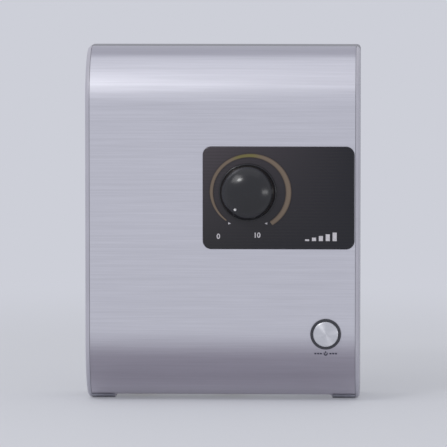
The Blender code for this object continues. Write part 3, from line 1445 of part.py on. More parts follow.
def wire(name, route, colour):
    strand(name, route, WIRE_RADIUS, finish(f"{name}_sheath", colour, 0.5))


def wires():
    red, blue, green = (0.45, 0.02, 0.02), (0.02, 0.06, 0.40), (0.20, 0.35, 0.03)
    block_y = (SEATED_Y + TERMINAL_FRONT_Y) / 2
    for name, number, colour in (("wire_live_in", 0, red), ("wire_neutral_in", 1, blue)):
        x = terminal_x(number)
        wire(name, [(x, block_y, TERMINAL_LOW - GAP), (x, block_y, BREAKER_HIGH + GAP)], colour)
    side = BREAKER_LEFT - GAP
    reach = BREAKER_WIDTH
    start = (side, BREAKER_FRONT_Y * LIVE_LEVEL_SHARE, BREAKER_LOW + reach)
    tip = (CUTOUT_BACK_X + CUTOUT_DEPTH / 2, TANK_Y - CUTOUT_RADIUS - GAP, CUTOUT_Z)
    end = (tip[0], tip[1] - WIRE_RADIUS, tip[2])
    handles = ((start[0] - reach, start[1], start[2]), (end[0], end[1] - reach / 2, end[2]))
    wire("wire_live_out", bezier(start, *handles, end) + [tip], red)
    y = BREAKER_FRONT_Y * NEUTRAL_LEVEL_SHARE
    start = (side, y, BREAKER_LOW + reach / 2)
    turn_up = (TANK_X + LID_OUTER + STRAP_EAR + WIRE_RADIUS, y, STRAP_UPPER_Z)
    end = (TANK_X + ELEMENT_COIL_RADIUS, TANK_Y, element_top() + GAP)
    handles = ((start[0] - 2 * reach, y, start[2]), (turn_up[0], y, turn_up[2] - 2 * reach))
    route = bezier(start, *handles, turn_up)
    rise, drop = reach * NEUTRAL_RISE_SHARE, reach * NEUTRAL_DROP_SHARE
    handles = ((turn_up[0], y, turn_up[2] + rise), (end[0], end[1], end[2] + drop))
    wire("wire_neutral_out", route + bezier(turn_up, *handles, end)[1:], blue)
    start = (TERMINAL_LEFT - GAP, block_y, TERMINAL_HIGH - reach * EARTH_DROP_SHARE)
    end = (TANK_X + TANK_RADIUS + GAP, TANK_Y, 0)
    handles = ((start[0] - reach / 2, block_y, start[2]), (end[0] + reach / 2, end[1], end[2]))
    wire("wire_earth", bezier(start, *handles, end), green)


def main():
    for obj in list(bpy.data.objects):
        bpy.data.objects.remove(obj)
    rear_base()
    case_seal()
    cover_shell()
    front_skin()
    cover_screws()
    control_panel()
    scale_ring()
    control_knob()
    control_shaft()
    potentiometer()
    control_board()
    test_button()
    button_bezel()
    breaker_body()
    breaker_test_key()
    breaker_lever()
    terminal_block()
    cable_grommet()
    cable_clamp()
    heat_sink()
    triac()
    tank_body()
    tank_lid()
    heating_element()
    tank_straps()
    thermal_cutout()
    water_tails()
    inlet_filter()
    outlet_pipe()
    inlet_block()
    regulator_spindle()
    flow_switch()
    inlet_hose()
    wires()


main()
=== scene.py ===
"""Looks of a compact tankless water heater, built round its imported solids.

Metres, +Z up. The front faces -Y and the wall is at Y = 0.
"""

import math

import bmesh
import bpy
from bpy.props import FloatProperty, FloatVectorProperty, IntProperty, PointerProperty
from mathutils import Matrix, Vector


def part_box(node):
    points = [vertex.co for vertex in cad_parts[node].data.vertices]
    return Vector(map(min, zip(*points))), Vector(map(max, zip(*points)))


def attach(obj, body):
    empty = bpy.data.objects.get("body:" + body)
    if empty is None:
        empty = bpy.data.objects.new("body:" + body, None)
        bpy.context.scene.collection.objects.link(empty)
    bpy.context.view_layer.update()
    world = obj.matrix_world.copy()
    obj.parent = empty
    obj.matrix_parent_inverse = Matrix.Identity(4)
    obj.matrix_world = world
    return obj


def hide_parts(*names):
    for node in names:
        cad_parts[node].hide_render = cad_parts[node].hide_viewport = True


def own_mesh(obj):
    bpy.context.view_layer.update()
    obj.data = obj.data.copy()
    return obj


bl_info = {
    "name": "Tankless water heater",
    "version": (1, 0, 0),
    "blender": (4, 5, 0),
    "location": "View3D > Sidebar > Water heater",
    "description": "Builds the visible pieces and finishes of a compact tankless water heater",
    "category": "Object",
}

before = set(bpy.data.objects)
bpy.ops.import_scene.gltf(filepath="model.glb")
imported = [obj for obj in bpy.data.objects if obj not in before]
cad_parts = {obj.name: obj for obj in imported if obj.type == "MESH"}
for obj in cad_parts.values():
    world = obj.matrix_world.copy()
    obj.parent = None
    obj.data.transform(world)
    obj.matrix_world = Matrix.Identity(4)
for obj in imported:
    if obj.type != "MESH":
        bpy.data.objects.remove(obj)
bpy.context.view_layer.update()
QUARTER = math.pi / 2
# One band of a wave texture is this long where its scale is 1
WAVE_SPAN = math.pi / 10
# Rings of points for each turn of a thread
THREAD_STEPS = 8
# How far a cutting body runs past what it cuts
PAST = 0.002
# Keeps the faces of two joined bodies off each other
OFF_FACE = 0.0005
# Room left between pieces that touch
FIT = 0.0003
# Radii of the openings that more than one piece has
SHAFT_HOLE, BUTTON_HOLE, SCREW_HOLE, STEM_HOLE = 0.0039, 0.0103, 0.0018, 0.0031
PANEL_CORNER = 0.006


def box_of(node):
    """Lowest and highest corner of a solid."""
    low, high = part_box(node)
    return Vector(low), Vector(high)


def centre_of(node):
    low, high = box_of(node)
    return (low + high) / 2


def low_of(node):
    return box_of(node)[0]


def high_of(node):
    return box_of(node)[1]


def linear(code):
    """Linear RGB of an sRGB hex value."""
    shares = [int(code[i:i + 2], 16) / 255 for i in (1, 3, 5)]
    return tuple(s / 12.92 if s <= 0.04045 else ((s + 0.055) / 1.055) ** 2.4 for s in shares)


def length(name, description, default):
    return FloatProperty(name=name, description=description, default=default, unit="LENGTH", precision=5)


def colour(name, description, default):
    return FloatVectorProperty(
        name=name, description=description, default=linear(default), size=3, subtype="COLOR"
    )


def share(name, description, default):
    return FloatProperty(
        name=name, description=description, default=default, min=0.0, max=1.0, subtype="FACTOR"
    )


def count(name, description, default):
    return IntProperty(name=name, description=description, default=default, min=1)


def number(name, description, default):
    return FloatProperty(name=name, description=description, default=default)


def degrees(name, description, default):
    return FloatProperty(
        name=name, description=description, default=math.radians(default), subtype="ANGLE", unit="ROTATION"
    )


# Sizes and colours that a user would change

class CaseSettings(bpy.types.PropertyGroup):
    half_width: length("Half width", "From the middle to either side", high_of("rear_base").x)
    half_height: length("Half height", "From the middle to the top", high_of("rear_base").z)
    base_depth: length("Base depth", "Depth of the rear tray", -low_of("rear_base").y)
    wall: length("Tray wall", "Wall thickness of the rear tray", 0.0025)
    corner: length("Tray corner", "Radius of the tray's outer corners", 0.003)
    back_edge: length("Back edge", "Rounding of the tray's rear edge", 0.0008)
    roll_radius: length("Roll radius", "Radius of the quarter rolls at top and bottom", 0.0424)
    edge_round: length("Cheek rounding", "Rounding of the cover's outer side edges", 0.003)
    shell_wall: length("Cover wall", "Wall thickness of the moulded cover", 0.0024)
    foot_width: length("Foot width", "Width of each foot", 0.020)
    foot_height: length("Foot height", "Height of the notch between the feet", 0.004)
    recess_height: length("Recess height", "Height of the recess for the connections", 0.0235)
    notch_round: length("Notch rounding", "Radius of the notch's upper corners", 0.003)
    sheet: length("Sheet thickness", "Thickness of the brushed metal sheet", 0.0008)
    sheet_edge: length("Sheet edge", "Deburred edge of the sheet", 0.00022)
    gap: length("Fitting gap", "Room left between pieces that touch", FIT)
    cap_colour: colour("Foot caps", "Colour of the rubber caps on the feet", "#B4B4BE")
    metal_colour: colour("Brushed metal", "Colour of the anodised sheet", "#DEDDE4")
    cheek_colour: colour("Cheeks", "Colour of the moulded cover", "#B4B3BF")
    tray_colour: colour("Tray", "Colour of the rear tray", "#86868E")


class PanelSettings(bpy.types.PropertyGroup):
    corner: length("Corner", "Radius of the panel's corners", PANEL_CORNER)
    edge: length("Edge rounding", "Polished edge of the panel", 0.0005)
    ring_radius: length("Scale radius", "Inner radius of the crescent scale", 0.0252)
    ring_start: length("Scale start", "Width of the scale where it starts", 0.0010)
    ring_width: length("Scale width", "Width of the scale after its start", 0.0026)
    ring_run: share("Scale run-in", "Part of the scale over which it reaches its width", 0.18)
    ring_inner: length("Inner swell", "How far the scale's inner edge moves out on the right", 0.0024)
    ring_outer: length("Outer swell", "How far the scale's outer edge moves out on the right", 0.0040)
    ring_from: degrees("Scale from", "Start of the scale, clockwise from the top", 217.0)
    ring_sweep: degrees("Scale sweep", "Length of the scale", 286.0)
    ring_middle: degrees("Swell middle", "Where the scale swells most, clockwise from the top", 450.0)
    ring_reach: degrees("Swell reach", "How far the swell goes to either side", 112.5)
    ring_thickness: length("Scale thickness", "Height of the scale over the panel", 0.0004)
    print_height: length("Print height", "Thickness of the printed marks", 0.00006)
    number_size: length("Number size", "Height of the dial's numbers", 0.0052)
    panel_colour: colour("Panel", "Colour of the gloss panel", "#1B1A1E")
    ring_light: colour("Scale light", "Tone of most of the scale", "#7B6C5D")
    ring_dark: colour("Scale dark", "Tone of the scale's rims", "#4E4036")
    ring_gold: colour("Scale gold", "Tone of the scale at its top", "#777042")
    mark_colour: colour("Marks", "Colour of the printed marks", "#C9C6CC")


class KnobSettings(bpy.types.PropertyGroup):
    radius: length("Radius", "Radius of the knob's skirt", 0.021)
    depth: length("Depth", "Height of the knob over its back", 0.0164)
    skirt: length("Skirt", "Height of the skirt", 0.0018)
    chamfer: length("Chamfer", "Bevel of the skirt", 0.0006)
    dome_radius: length("Dome radius", "Radius of the dome", 0.0203)
    dot_radius: length("Dot radius", "Radius of the white dot", 0.0011)
    sides: count("Sides", "Sides of the turned pieces", 128)
    knob_colour: colour("Knob", "Colour of the knob", "#101015")
    dot_colour: colour("Dot", "Colour of the dot", "#E4E2E6")


class ButtonSettings(bpy.types.PropertyGroup):
    radius: length("Cap radius", "Radius of the chrome cap", 0.0091)
    dome: length("Dome", "Crown of the cap", 0.0012)
    edge: length("Edge", "Rounding of the cap's edge", 0.0009)
    ring_edge: length("Ring edge", "Rounding of the ring's lip", 0.00035)
    print_height: length("Print height", "Thickness of the printed symbol", 0.00006)
    chrome_colour: colour("Chrome", "Colour of the plated cap", "#E2E2EA")
    ring_colour: colour("Ring", "Colour of the ring", "#33343B")
    print_colour: colour("Print", "Colour of the printed symbol", "#22223A")


class ConnectionSettings(bpy.types.PropertyGroup):
    pitch: length("Thread pitch", "Pitch of the half-inch pipe thread", 0.001814)
    thread_depth: length("Thread depth", "Depth of the pipe thread", 0.0009)
    thread_radius: length("Thread radius", "Outer radius of the pipe thread", 0.0102)
    lead: length("Lead-in", "Chamfer at the mouth of a connection", 0.0005)
    outlet_bore: length("Outlet bore", "Radius of the outlet's bore", 0.0048)
    inlet_bore: length("Inlet bore", "Radius of the inlet's bore", 0.0070)
    outlet_neck: length("Outlet neck", "Radius of the outlet's neck over its flange", 0.0075)
    flange_radius: length("Flange radius", "Radius of the flange inside the case", 0.0125)
    flange_rise: length("Flange rise", "From the bottom of the case to the flange", 0.0263)
    flange_height: length("Flange height", "Height of the flange", 0.0042)
    hex_flats: length("Nut size", "Width across the nuts' flats", 0.024)
    grip_radius: length("Grip radius", "Radius of the regulator's grip", 0.0065)
    grip_height: length("Grip height", "Height of the regulator's grip", 0.010)
    spindle_radius: length("Spindle radius", "Radius of the regulator's spindle", 0.004)
    grip_ribs: count("Grip ribs", "Ribs round the regulator's grip", 24)
    rib_radius: length("Rib radius", "Radius of each rib", 0.0004)
    brass_colour: colour("Brass", "Colour of the turned brass", "#C9A766")
    grommet_colour: colour("Cable bush", "Colour of the cable bush", "#1C1C1D")
    grip_colour: colour("Grip", "Colour of the regulator's grip", "#242428")


class FixingSettings(bpy.types.PropertyGroup):
    gap: length("Fitting gap", "Room left between pieces that touch", FIT)
    head_radius: length("Head radius", "Radius of a screw's head", 0.003)
    head_height: length("Head height", "Height of a screw's head", 0.0022)
    shank_radius: length("Shank radius", "Outer radius of a screw's thread", 0.0015)
    screw_pitch: length("Screw pitch", "Pitch of a screw's thread", 0.0007)
    screw_thread: length("Screw thread", "Depth of a screw's thread", 0.00028)
    wire_radius: length("Spring wire", "Radius of the springs' wire", 0.00045)
    steel_colour: colour("Zinc plate", "Colour of the plated screws", "#C4C5C8")
    spring_colour: colour("Spring steel", "Colour of the springs", "#9C9DA2")


class InsideSettings(bpy.types.PropertyGroup):
    rubber_colour: colour("Rubber", "Colour of seal, hose and piston", "#1C1C1D")
    resin_colour: colour("Resin", "Colour of the black mouldings", "#232326")
    nylon_colour: colour("Nylon", "Colour of the pale mouldings", "#D8D6CC")
    steel_colour: colour("Steel", "Colour of tank, straps and shaft", "#B9BABF")
    sheath_colour: colour("Element", "Colour of the heating element", "#6F6A62")
    copper_colour: colour("Copper", "Colour of the outlet pipe", "#C27C5A")
    aluminium_colour: colour("Aluminium", "Colour of the heat sink", "#C9CACE")
    brass_colour: colour("Brass", "Colour of the inlet block", "#C9A766")
    board_colour: colour("Board", "Colour of the circuit board", "#1F5A38")
    live_colour: colour("Live wires", "Colour of the live wires", "#B5221F")
    neutral_colour: colour("Neutral wires", "Colour of the neutral wires", "#1F4E9E")
    earth_colour: colour("Earth wire", "Colour of the earth wire", "#3F8F3A")


class StageSettings(bpy.types.PropertyGroup):
    floor_size: length("Floor size", "Side of the square floor", 14.0)
    floor_near: length("Floor near", "Distance up to which the floor itself is seen", 0.30)
    floor_far: length("Floor far", "Distance from which the floor is plain backdrop", 0.90)
    floor_plain: share("Floor plainness", "Share of plain backdrop in the floor by the heater", 0.35)
    floor_colour: colour("Floor", "Colour of the floor", "#D3D5DC")
    backdrop_colour: colour("Backdrop", "Colour behind the heater", "#CDCFD8")
    azimuth: degrees("Azimuth", "Camera's turn to the right", 2.0)
    elevation: degrees("Elevation", "Camera's height over the horizon", 4.5)
    distance: length("Distance", "From the camera to the heater", 3.55)
    lens: number("Lens", "Focal length in millimetres", 390.0)
    key: number("Key light", "Power of the upper left softbox in watts", 5.5)
    top: number("Top light", "Power of the overhead softbox in watts", 1.8)
    front: number("Front light", "Power of the small front card in watts", 6.8)
    side: number("Side light", "Power of the right-hand card in watts", 2.2)
    sky: share("Sky", "Strength of the even light all round", 0.66)


# Meshes

def place(axis, along, across, up):
    """A point given along an axis and across it: X gives (y, z), Y gives (x, z), Z gives (x, y)."""
    if axis == "X":
        return (along, across, up)
    if axis == "Y":
        return (across, along, up)
    return (across, up, along)


def arc(start, sweep, steps):
    """Cosine and sine at even steps along a turn."""
    turns = [start + sweep * i / steps for i in range(steps + 1)]
    return [(math.cos(turn), math.sin(turn)) for turn in turns]


def loft(layers, axis):
    """Closed body through outlines of one number of points."""
    size = len(layers[0][1])
    points = [place(axis, along, u, v) for along, outline in layers for u, v in outline]
    faces = [tuple(range(size))]
    for first in range(0, len(points) - size, size):
        for i in range(size):
            j = (i + 1) % size
            faces.append((first + i, first + j, first + size + j, first + size + i))
    faces.append(tuple(range(len(points) - size, len(points))))
    return points, faces


def bar(outline, start, end, axis):
    return loft([(start, outline), (end, outline)], axis)


def lathe(profile, centre, axis, sides):
    """Profile of (radius, place on the axis) turned round it, closed at the axis or as a ring."""
    rings, points, faces = [], [], []
    for radius, along in profile:
        steps = sides if radius else 1
        rings.append(range(len(points), len(points) + steps))
        for c, s in arc(0, math.tau, sides)[:steps]:
            points.append(place(axis, along, centre[0] + radius * c, centre[1] + radius * s))
    pairs = list(zip(rings, rings[1:]))
    if profile[0][0] and profile[-1][0]:
        pairs.append((rings[-1], rings[0]))
    for one, two in pairs:
        for i in range(sides):
            j = (i + 1) % sides
            ends = [one[i % len(one)], one[j % len(one)], two[j % len(two)], two[i % len(two)]]
            face = tuple(dict.fromkeys(ends))
            if len(face) > 2:
                faces.append(face)
    return points, faces


def rod(radius, start, end, centre, axis, sides=48):
    return lathe([(0, start), (radius, start), (radius, end), (0, end)], centre, axis, sides)


def rectangle(left, right, low, high):
    return [(left, low), (right, low), (right, high), (left, high)]


def block(low, high):
    return bar(rectangle(low[0], high[0], low[1], high[1]), low[2], high[2], "Z")


def rounded(left, right, low, high, radius, steps=12):
    """Rectangle with round corners, anticlockwise."""
    middles = (
        (right - radius, high - radius),
        (left + radius, high - radius),
        (left + radius, low + radius),
        (right - radius, low + radius),
    )
    outline = []
    for quarter, (u, v) in enumerate(middles):
        outline += [(u + radius * c, v + radius * s) for c, s in arc(quarter * QUARTER, QUARTER, steps)]
    return outline


def joined(shapes):
    points, faces = [], []
    for shape_points, shape_faces in shapes:
        start = len(points)
        points.extend(shape_points)
        faces.extend(tuple(start + i for i in face) for face in shape_faces)
    return points, faces


def standing(name, data):
    """Object that stands in the scene."""
    piece = bpy.data.objects.new(name, data)
    bpy.context.scene.collection.objects.link(piece)
    return piece


def face_outwards(mesh):
    clean = bmesh.new()
    clean.from_mesh(mesh)
    bmesh.ops.recalc_face_normals(clean, faces=clean.faces)
    clean.to_mesh(mesh)
    clean.free()


def body(name, shape):
    """Object with its place in its mesh and its faces outwards."""
    points, faces = shape
    mesh = bpy.data.meshes.new(name)
    mesh.from_pydata(points, [], faces)
    face_outwards(mesh)
    return standing(name, mesh)


def settled(piece):
    """Plain mesh of a piece with its modifiers, or of a text."""
    bpy.context.view_layer.update()
    graph = bpy.context.evaluated_depsgraph_get()
    return bpy.data.meshes.new_from_object(piece.evaluated_get(graph))


def freeze(piece):
    """Turns the result of the piece's modifiers into its plain mesh."""
    mesh = settled(piece)
    piece.modifiers.clear()
    piece.data = mesh
    mesh.name = piece.name
    return piece


def carve(piece, shapes, operation="DIFFERENCE"):
    """Exact Boolean with bodies that don't touch each other."""
    cutter = body(f"{piece.name}_cutter", joined(shapes))
    modifier = piece.modifiers.new("carve", "BOOLEAN")
    modifier.operation = operation
    modifier.solver = "EXACT"
    modifier.object = cutter
    freeze(piece)
    bpy.data.objects.remove(cutter)
    return piece


def smooth(piece, edge=0.0, steps=2, angle=35):
    """Rounds the sharp edges, if asked, and shades the rest smooth."""
    if edge:
        modifier = piece.modifiers.new("edges", "BEVEL")
        modifier.width = edge
        modifier.segments = steps
        modifier.limit_method = "ANGLE"
        modifier.angle_limit = math.radians(angle)
        modifier.use_clamp_overlap = True
        freeze(piece)
    piece.data.shade_smooth()
    piece.data.set_sharp_from_angle(angle=math.radians(angle))
    modifier = piece.modifiers.new("normals", "WEIGHTED_NORMAL")
    modifier.keep_sharp = True
    return freeze(piece)


def hand_in(piece, material, owner, slot, *nodes):
    """Gives a finished piece its material and its body, and hides the solids it stands for."""
    if material:
        piece.data.materials.clear()
        piece.data.materials.append(material)
    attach(piece, owner)
    if nodes:
        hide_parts(*nodes)
    return piece


# Nodes

def add_node(tree, kind, inputs=None, **settings):
    """Adds one node, sets its properties, and gives its inputs values, sockets or nodes' first outputs."""
    made = tree.nodes.new(kind)
    for name, value in settings.items():
        setattr(made, name, value)
    for key, value in (inputs or {}).items():
        if isinstance(value, bpy.types.Node):
            value = value.outputs[0]
        if isinstance(value, bpy.types.NodeSocket):
            tree.links.new(value, made.inputs[key])
        else:
            made.inputs[key].default_value = value
    return made


def geometry_tree(name, sizes):
    """Geometry tree with named inputs, and the sockets that give them, by name."""
    tree = bpy.data.node_groups.new(name, "GeometryNodeTree")
    tree.interface.new_socket("Geometry", in_out="INPUT", socket_type="NodeSocketGeometry")
    tree.interface.new_socket("Geometry", in_out="OUTPUT", socket_type="NodeSocketGeometry")
    for label, value in sizes.items():
        kind = "NodeSocketInt" if isinstance(value, int) else "NodeSocketFloat"
        tree.interface.new_socket(label, in_out="INPUT", socket_type=kind).default_value = value
    return tree, add_node(tree, "NodeGroupInput").outputs


def close_tree(tree, geometry, material):
    """Ends a geometry tree in real faces with their material."""
    real = add_node(tree, "GeometryNodeRealizeInstances", {"Geometry": geometry})
    dressed = add_node(tree, "GeometryNodeSetMaterial", {"Geometry": real, "Material": material})
    add_node(tree, "NodeGroupOutput", {"Geometry": dressed})


def grow(name, tree, sizes, source=None):
    """Runs a geometry tree on a mesh and keeps the result as a plain mesh."""
    piece = standing(name, source or bpy.data.meshes.new(name))
    modifier = piece.modifiers.new(name, "NODES")
    modifier.node_group = tree
    for item in tree.interface.items_tree:
        if item.in_out == "INPUT" and item.name in sizes:
            modifier[item.identifier] = sizes[item.name]
    return freeze(piece)


# Finishes

TONE_SPREAD = 0.3
# Painted shade on the brushed sheet where it rolls over: a darker band on the lower roll, lifted a little
# again over its lowest stretch as painted light, and a darker band along the top edge. Each: at the bottom
# (-1) or top (1) of the case, from how far inside that end the change starts to where it is full, and what
# each colour is multiplied by
LOWER_ROLL_PAINTED_SHADE = (-1, 0.056, 0.031, (0.56, 0.53, 0.57))
UNDERSIDE_PAINTED_LIGHT = (-1, 0.022, 0.0, (1.5, 1.52, 1.47))
UPPER_ROLL_PAINTED_SHADE = (1, 0.009, 0.004, (0.76, 0.75, 0.77))


def scaled(base, factor):
    return tuple(min(1.0, value * factor) for value in base)


def cube_of(size):
    return (size, size, size)


def surface(name, base, roughness, metallic=0.0, ior=1.5, patterns=()):
    """Material whose patterns move its tone, gloss and height, each by its weights for these.

    A pattern is (size along X, Y and Z, detail, weights). Gives the material, its tree, its shader and
    the socket of its Object coordinates.
    """
    material = bpy.data.materials.new(name)
    material.use_nodes = True
    material.diffuse_color = (*base, 1)
    tree = material.node_tree
    shader = tree.nodes["Principled BSDF"]
    values = {"Base Color": (*base, 1), "Roughness": roughness, "Metallic": metallic, "IOR": ior}
    for label, value in values.items():
        shader.inputs[label].default_value = value
    spot = add_node(tree, "ShaderNodeTexCoord").outputs["Object"]
    total = {"tone": 0.5, "gloss": roughness, "height": 0.0}
    for goal in ("tone", "gloss"):
        total[goal] -= sum(weights.get(goal, 0) for _, _, weights in patterns) / 2
    for size, detail, weights in patterns:
        turned = add_node(tree, "ShaderNodeMapping", {"Vector": spot, "Scale": [1 / span for span in size]})
        cloud = add_node(tree, "ShaderNodeTexNoise", {"Vector": turned, "Scale": 1.0, "Detail": detail})
        for goal, weight in weights.items():
            inputs = {0: cloud.outputs["Fac"], 1: weight, 2: total[goal]}
            total[goal] = add_node(tree, "ShaderNodeMath", inputs, operation="MULTIPLY_ADD")
    if isinstance(total["tone"], bpy.types.Node):
        dark, light = ((*scaled(base, 1 + side * TONE_SPREAD), 1) for side in (-1, 1))
        mix = add_node(tree, "ShaderNodeMix", {0: total["tone"], 6: dark, 7: light}, data_type="RGBA")
        tree.links.new(mix.outputs[2], shader.inputs["Base Color"])
    if isinstance(total["gloss"], bpy.types.Node):
        tree.links.new(total["gloss"].outputs[0], shader.inputs["Roughness"])
    if isinstance(total["height"], bpy.types.Node):
        bump = add_node(
            tree, "ShaderNodeBump", {"Height": total["height"], "Distance": 1.0, "Strength": 1.0}
        )
        tree.links.new(bump.outputs["Normal"], shader.inputs["Normal"])
    return material, tree, shader, spot


def brushed_aluminium_with_painted_shade(base, half_height):
    """Anodised sheet brushed across: fine level streaks, with painted shade where it is rolled over, darker
    on the lower roll and along the top edge and lighter again at the very bottom.

    The hairs are drawn a few times as coarse as real ones, so that they show.
    """
    streaks = ((0.11, 0.0016, 0.0016), 3.0, {"tone": 0.35, "gloss": 0.12})
    hairs = ((0.035, 0.0005, 0.0005), 2.0, {"tone": 0.25, "height": 0.00001})
    material, tree, shader, spot = surface(
        "brushed_anodised_aluminium", base, roughness=0.38, metallic=1.0, patterns=(streaks, hairs)
    )
    rise = add_node(tree, "ShaderNodeSeparateXYZ", {"Vector": spot}).outputs["Z"]
    tone = shader.inputs["Base Color"].links[0].from_socket
    # Each band multiplies the sheet's colour by its painted shade or painted light
    for end, start, stop, deep in (LOWER_ROLL_PAINTED_SHADE, UNDERSIDE_PAINTED_LIGHT, UPPER_ROLL_PAINTED_SHADE):
        limits = {
            "Value": rise,
            "From Min": end * (half_height - start),
            "From Max": end * (half_height - stop),
        }
        bend = add_node(tree, "ShaderNodeMapRange", limits, interpolation_type="SMOOTHSTEP")
        painted_light_and_shade = {0: bend, 6: tone, 7: (*deep, 1)}
        mix = add_node(tree, "ShaderNodeMix", painted_light_and_shade, data_type="RGBA", blend_type="MULTIPLY")
        tone = mix.outputs[2]
    tree.links.new(tone, shader.inputs["Base Color"])
    return material


def moulded_abs(name, base, roughness, grain=0.0005):
    """Injection-moulded ABS with a spark-eroded grain that breaks its shine up, coarse enough to show."""
    clouds = (cube_of(0.03), 4.0, {"tone": 0.35, "gloss": 0.1})
    pits = (cube_of(grain), 1.0, {"height": 0.00002})
    return surface(name, base, roughness, ior=1.53, patterns=(clouds, pits))[0]


def gloss_abs(name, base, roughness):
    """Gloss-moulded ABS with a slight orange peel."""
    peel = (cube_of(0.0024), 2.0, {"tone": 0.5, "gloss": 0.05, "height": 0.000006})
    return surface(name, base, roughness, ior=1.6, patterns=(peel,))[0]


def gloss_acrylic(base, low, high):
    """Polished acrylic, printed black from behind with faint level lines, and a painted reflection: lighter
    and warmer towards the top, darker and bluer towards the right.
    """
    haze = (cube_of(0.02), 2.0, {"gloss": 0.04})
    line_pitch, line_strength = 0.0023, 0.3
    material, tree, shader, spot = surface(
        "back_printed_acrylic", base, roughness=0.12, ior=1.49, patterns=(haze,)
    )
    parts = add_node(tree, "ShaderNodeSeparateXYZ", {"Vector": spot}).outputs
    rise, painted_reflection_aside = (
        add_node(tree, "ShaderNodeMapRange", {"Value": parts[way], "From Min": start, "From Max": end})
        for way, start, end in (("Z", low.z, high.z), ("X", low.x, high.x))
    )
    lines = add_node(
        tree, "ShaderNodeTexWave", {"Vector": spot, "Scale": WAVE_SPAN / line_pitch}, bands_direction="Z"
    )
    faint = add_node(
        tree, "ShaderNodeMath", {0: lines.outputs["Fac"], 1: line_strength}, operation="MULTIPLY"
    )
    print_and_painted_reflection = (*base, 1)
    # Painted reflection: lighter and warmer towards the top, darker and bluer towards the right; then the
    # printed level lines
    for part, far in ((rise, "#474046"), (painted_reflection_aside, "#080816"), (faint, "#2A2827")):
        mix = {0: part, 6: print_and_painted_reflection, 7: (*linear(far), 1)}
        print_and_painted_reflection = add_node(tree, "ShaderNodeMix", mix, data_type="RGBA").outputs[2]
    tree.links.new(print_and_painted_reflection, shader.inputs["Base Color"])
    return material


def crescent_ink(light, dark, gold):
    """Metallic screen ink: warm grey between darker rims, and olive gold at the top of the scale."""
    flakes = (cube_of(0.0005), 1.0, {"height": 0.000004})
    material, tree, shader, _ = surface(
        "metallic_screen_ink", light, roughness=0.42, metallic=0.25, patterns=(flakes,)
    )
    tone = (*gold, 1)
    for label, middle, near, far, ink in (
        ("along", 0.49, 0.03, 0.10, light),
        ("across", 0.5, 0.25, 0.5, dark),
    ):
        value = add_node(tree, "ShaderNodeAttribute", attribute_name=label).outputs["Fac"]
        gap = add_node(tree, "ShaderNodeMath", {0: value, 1: middle}, operation="SUBTRACT")
        size = add_node(tree, "ShaderNodeMath", {0: gap}, operation="ABSOLUTE")
        limits = {"Value": size, "From Min": near, "From Max": far}
        away = add_node(tree, "ShaderNodeMapRange", limits, interpolation_type="SMOOTHSTEP")
        mix = {0: away, 6: tone, 7: (*ink, 1)}
        tone = add_node(tree, "ShaderNodeMix", mix, data_type="RGBA").outputs[2]
    tree.links.new(tone, shader.inputs["Base Color"])
    return material


def print_ink(name, base):
    """Pad-printed ink, a little uneven where it is thin."""
    spread = (cube_of(0.0007), 2.0, {"tone": 1.0})
    return surface(name, base, roughness=0.5, patterns=(spread,))[0]


def zinc_plated_screw(base):
    """Zinc-plated screw steel: a dulled mirror with wiping marks."""
    wipes = ((0.016, 0.016, 0.0024), 3.0, {"tone": 0.3, "gloss": 0.25})
    return surface("zinc_plated_screw_steel", base, roughness=0.25, metallic=1.0, patterns=(wipes,))[0]


def spun_chrome(base):
    """Chrome on a spun cap: hair-fine rings round its axis fan the shine out to two sides."""
    wipes = ((0.016, 0.016, 0.0024), 3.0, {"tone": 0.3, "gloss": 0.06})
    material, tree, shader, _ = surface(
        "spun_chrome_plate", base, roughness=0.45, metallic=1.0, patterns=(wipes,)
    )
    shader.inputs["Anisotropic"].default_value = 0.75
    shader.inputs["Anisotropic Rotation"].default_value = 0.25
    around = add_node(tree, "ShaderNodeTangent", direction_type="RADIAL", axis="Y")
    tree.links.new(around.outputs["Tangent"], shader.inputs["Tangent"])
    return material


def turned_metal(name, base, axis, pitch=0.0004):
    """Metal turned on a lathe: rings along its axis, coarse enough to show, and a slight tarnish."""
    tarnish = (cube_of(0.006), 4.0, {"tone": 0.9, "gloss": 0.3})
    material, tree, shader, spot = surface(name, base, roughness=0.3, metallic=1.0, patterns=(tarnish,))
    rings = add_node(
        tree,
        "ShaderNodeTexWave",
        {"Vector": spot, "Scale": WAVE_SPAN / pitch, "Distortion": 0.6, "Detail": 2.0},
        bands_direction=axis,
    )
    bump = add_node(tree, "ShaderNodeBump", {"Height": rings.outputs["Fac"], "Distance": 0.00001})
    tree.links.new(bump.outputs["Normal"], shader.inputs["Normal"])
    return material


def moulded_rubber(name, base):
    """Moulded EPDM rubber: matte, with a dusty bloom."""
    bloom = (cube_of(0.004), 5.0, {"tone": 1.0, "height": 0.00003})
    return surface(name, base, roughness=0.78, patterns=(bloom,))[0]


def drawn_metal(name, base, roughness, lay):
    """Drawn or rolled metal: long faint marks along the way it was worked, given by their size."""
    marks = (lay, 3.0, {"tone": 0.8, "gloss": 0.22})
    stain = (cube_of(0.012), 4.0, {"tone": 0.6})
    return surface(name, base, roughness, metallic=1.0, patterns=(marks, stain))[0]


def zinc_plate(base):
    """Bright zinc on pressed steel: cool and silky, with a cloudy passivation."""
    cloud = (cube_of(0.008), 4.0, {"tone": 0.6, "gloss": 0.25})
    return surface("zinc_plated_steel", base, roughness=0.34, metallic=1.0, patterns=(cloud,))[0]


def moulded_nylon(base):
    """Natural nylon: milky and waxy, and light goes a little way into it."""
    flow = ((0.02, 0.02, 0.006), 3.0, {"tone": 0.25, "gloss": 0.12})
    material, _, shader, _ = surface("moulded_nylon", base, roughness=0.42, ior=1.53, patterns=(flow,))
    shader.inputs["Subsurface Weight"].default_value = 0.15
    shader.inputs["Subsurface Scale"].default_value = 0.001
    return material


def filled_resin(name, base):
    """Mineral-filled moulding resin: dull, with fine pale specks."""
    specks = (cube_of(0.0006), 2.0, {"tone": 1.2, "height": 0.000008})
    return surface(name, base, roughness=0.5, ior=1.55, patterns=(specks,))[0]


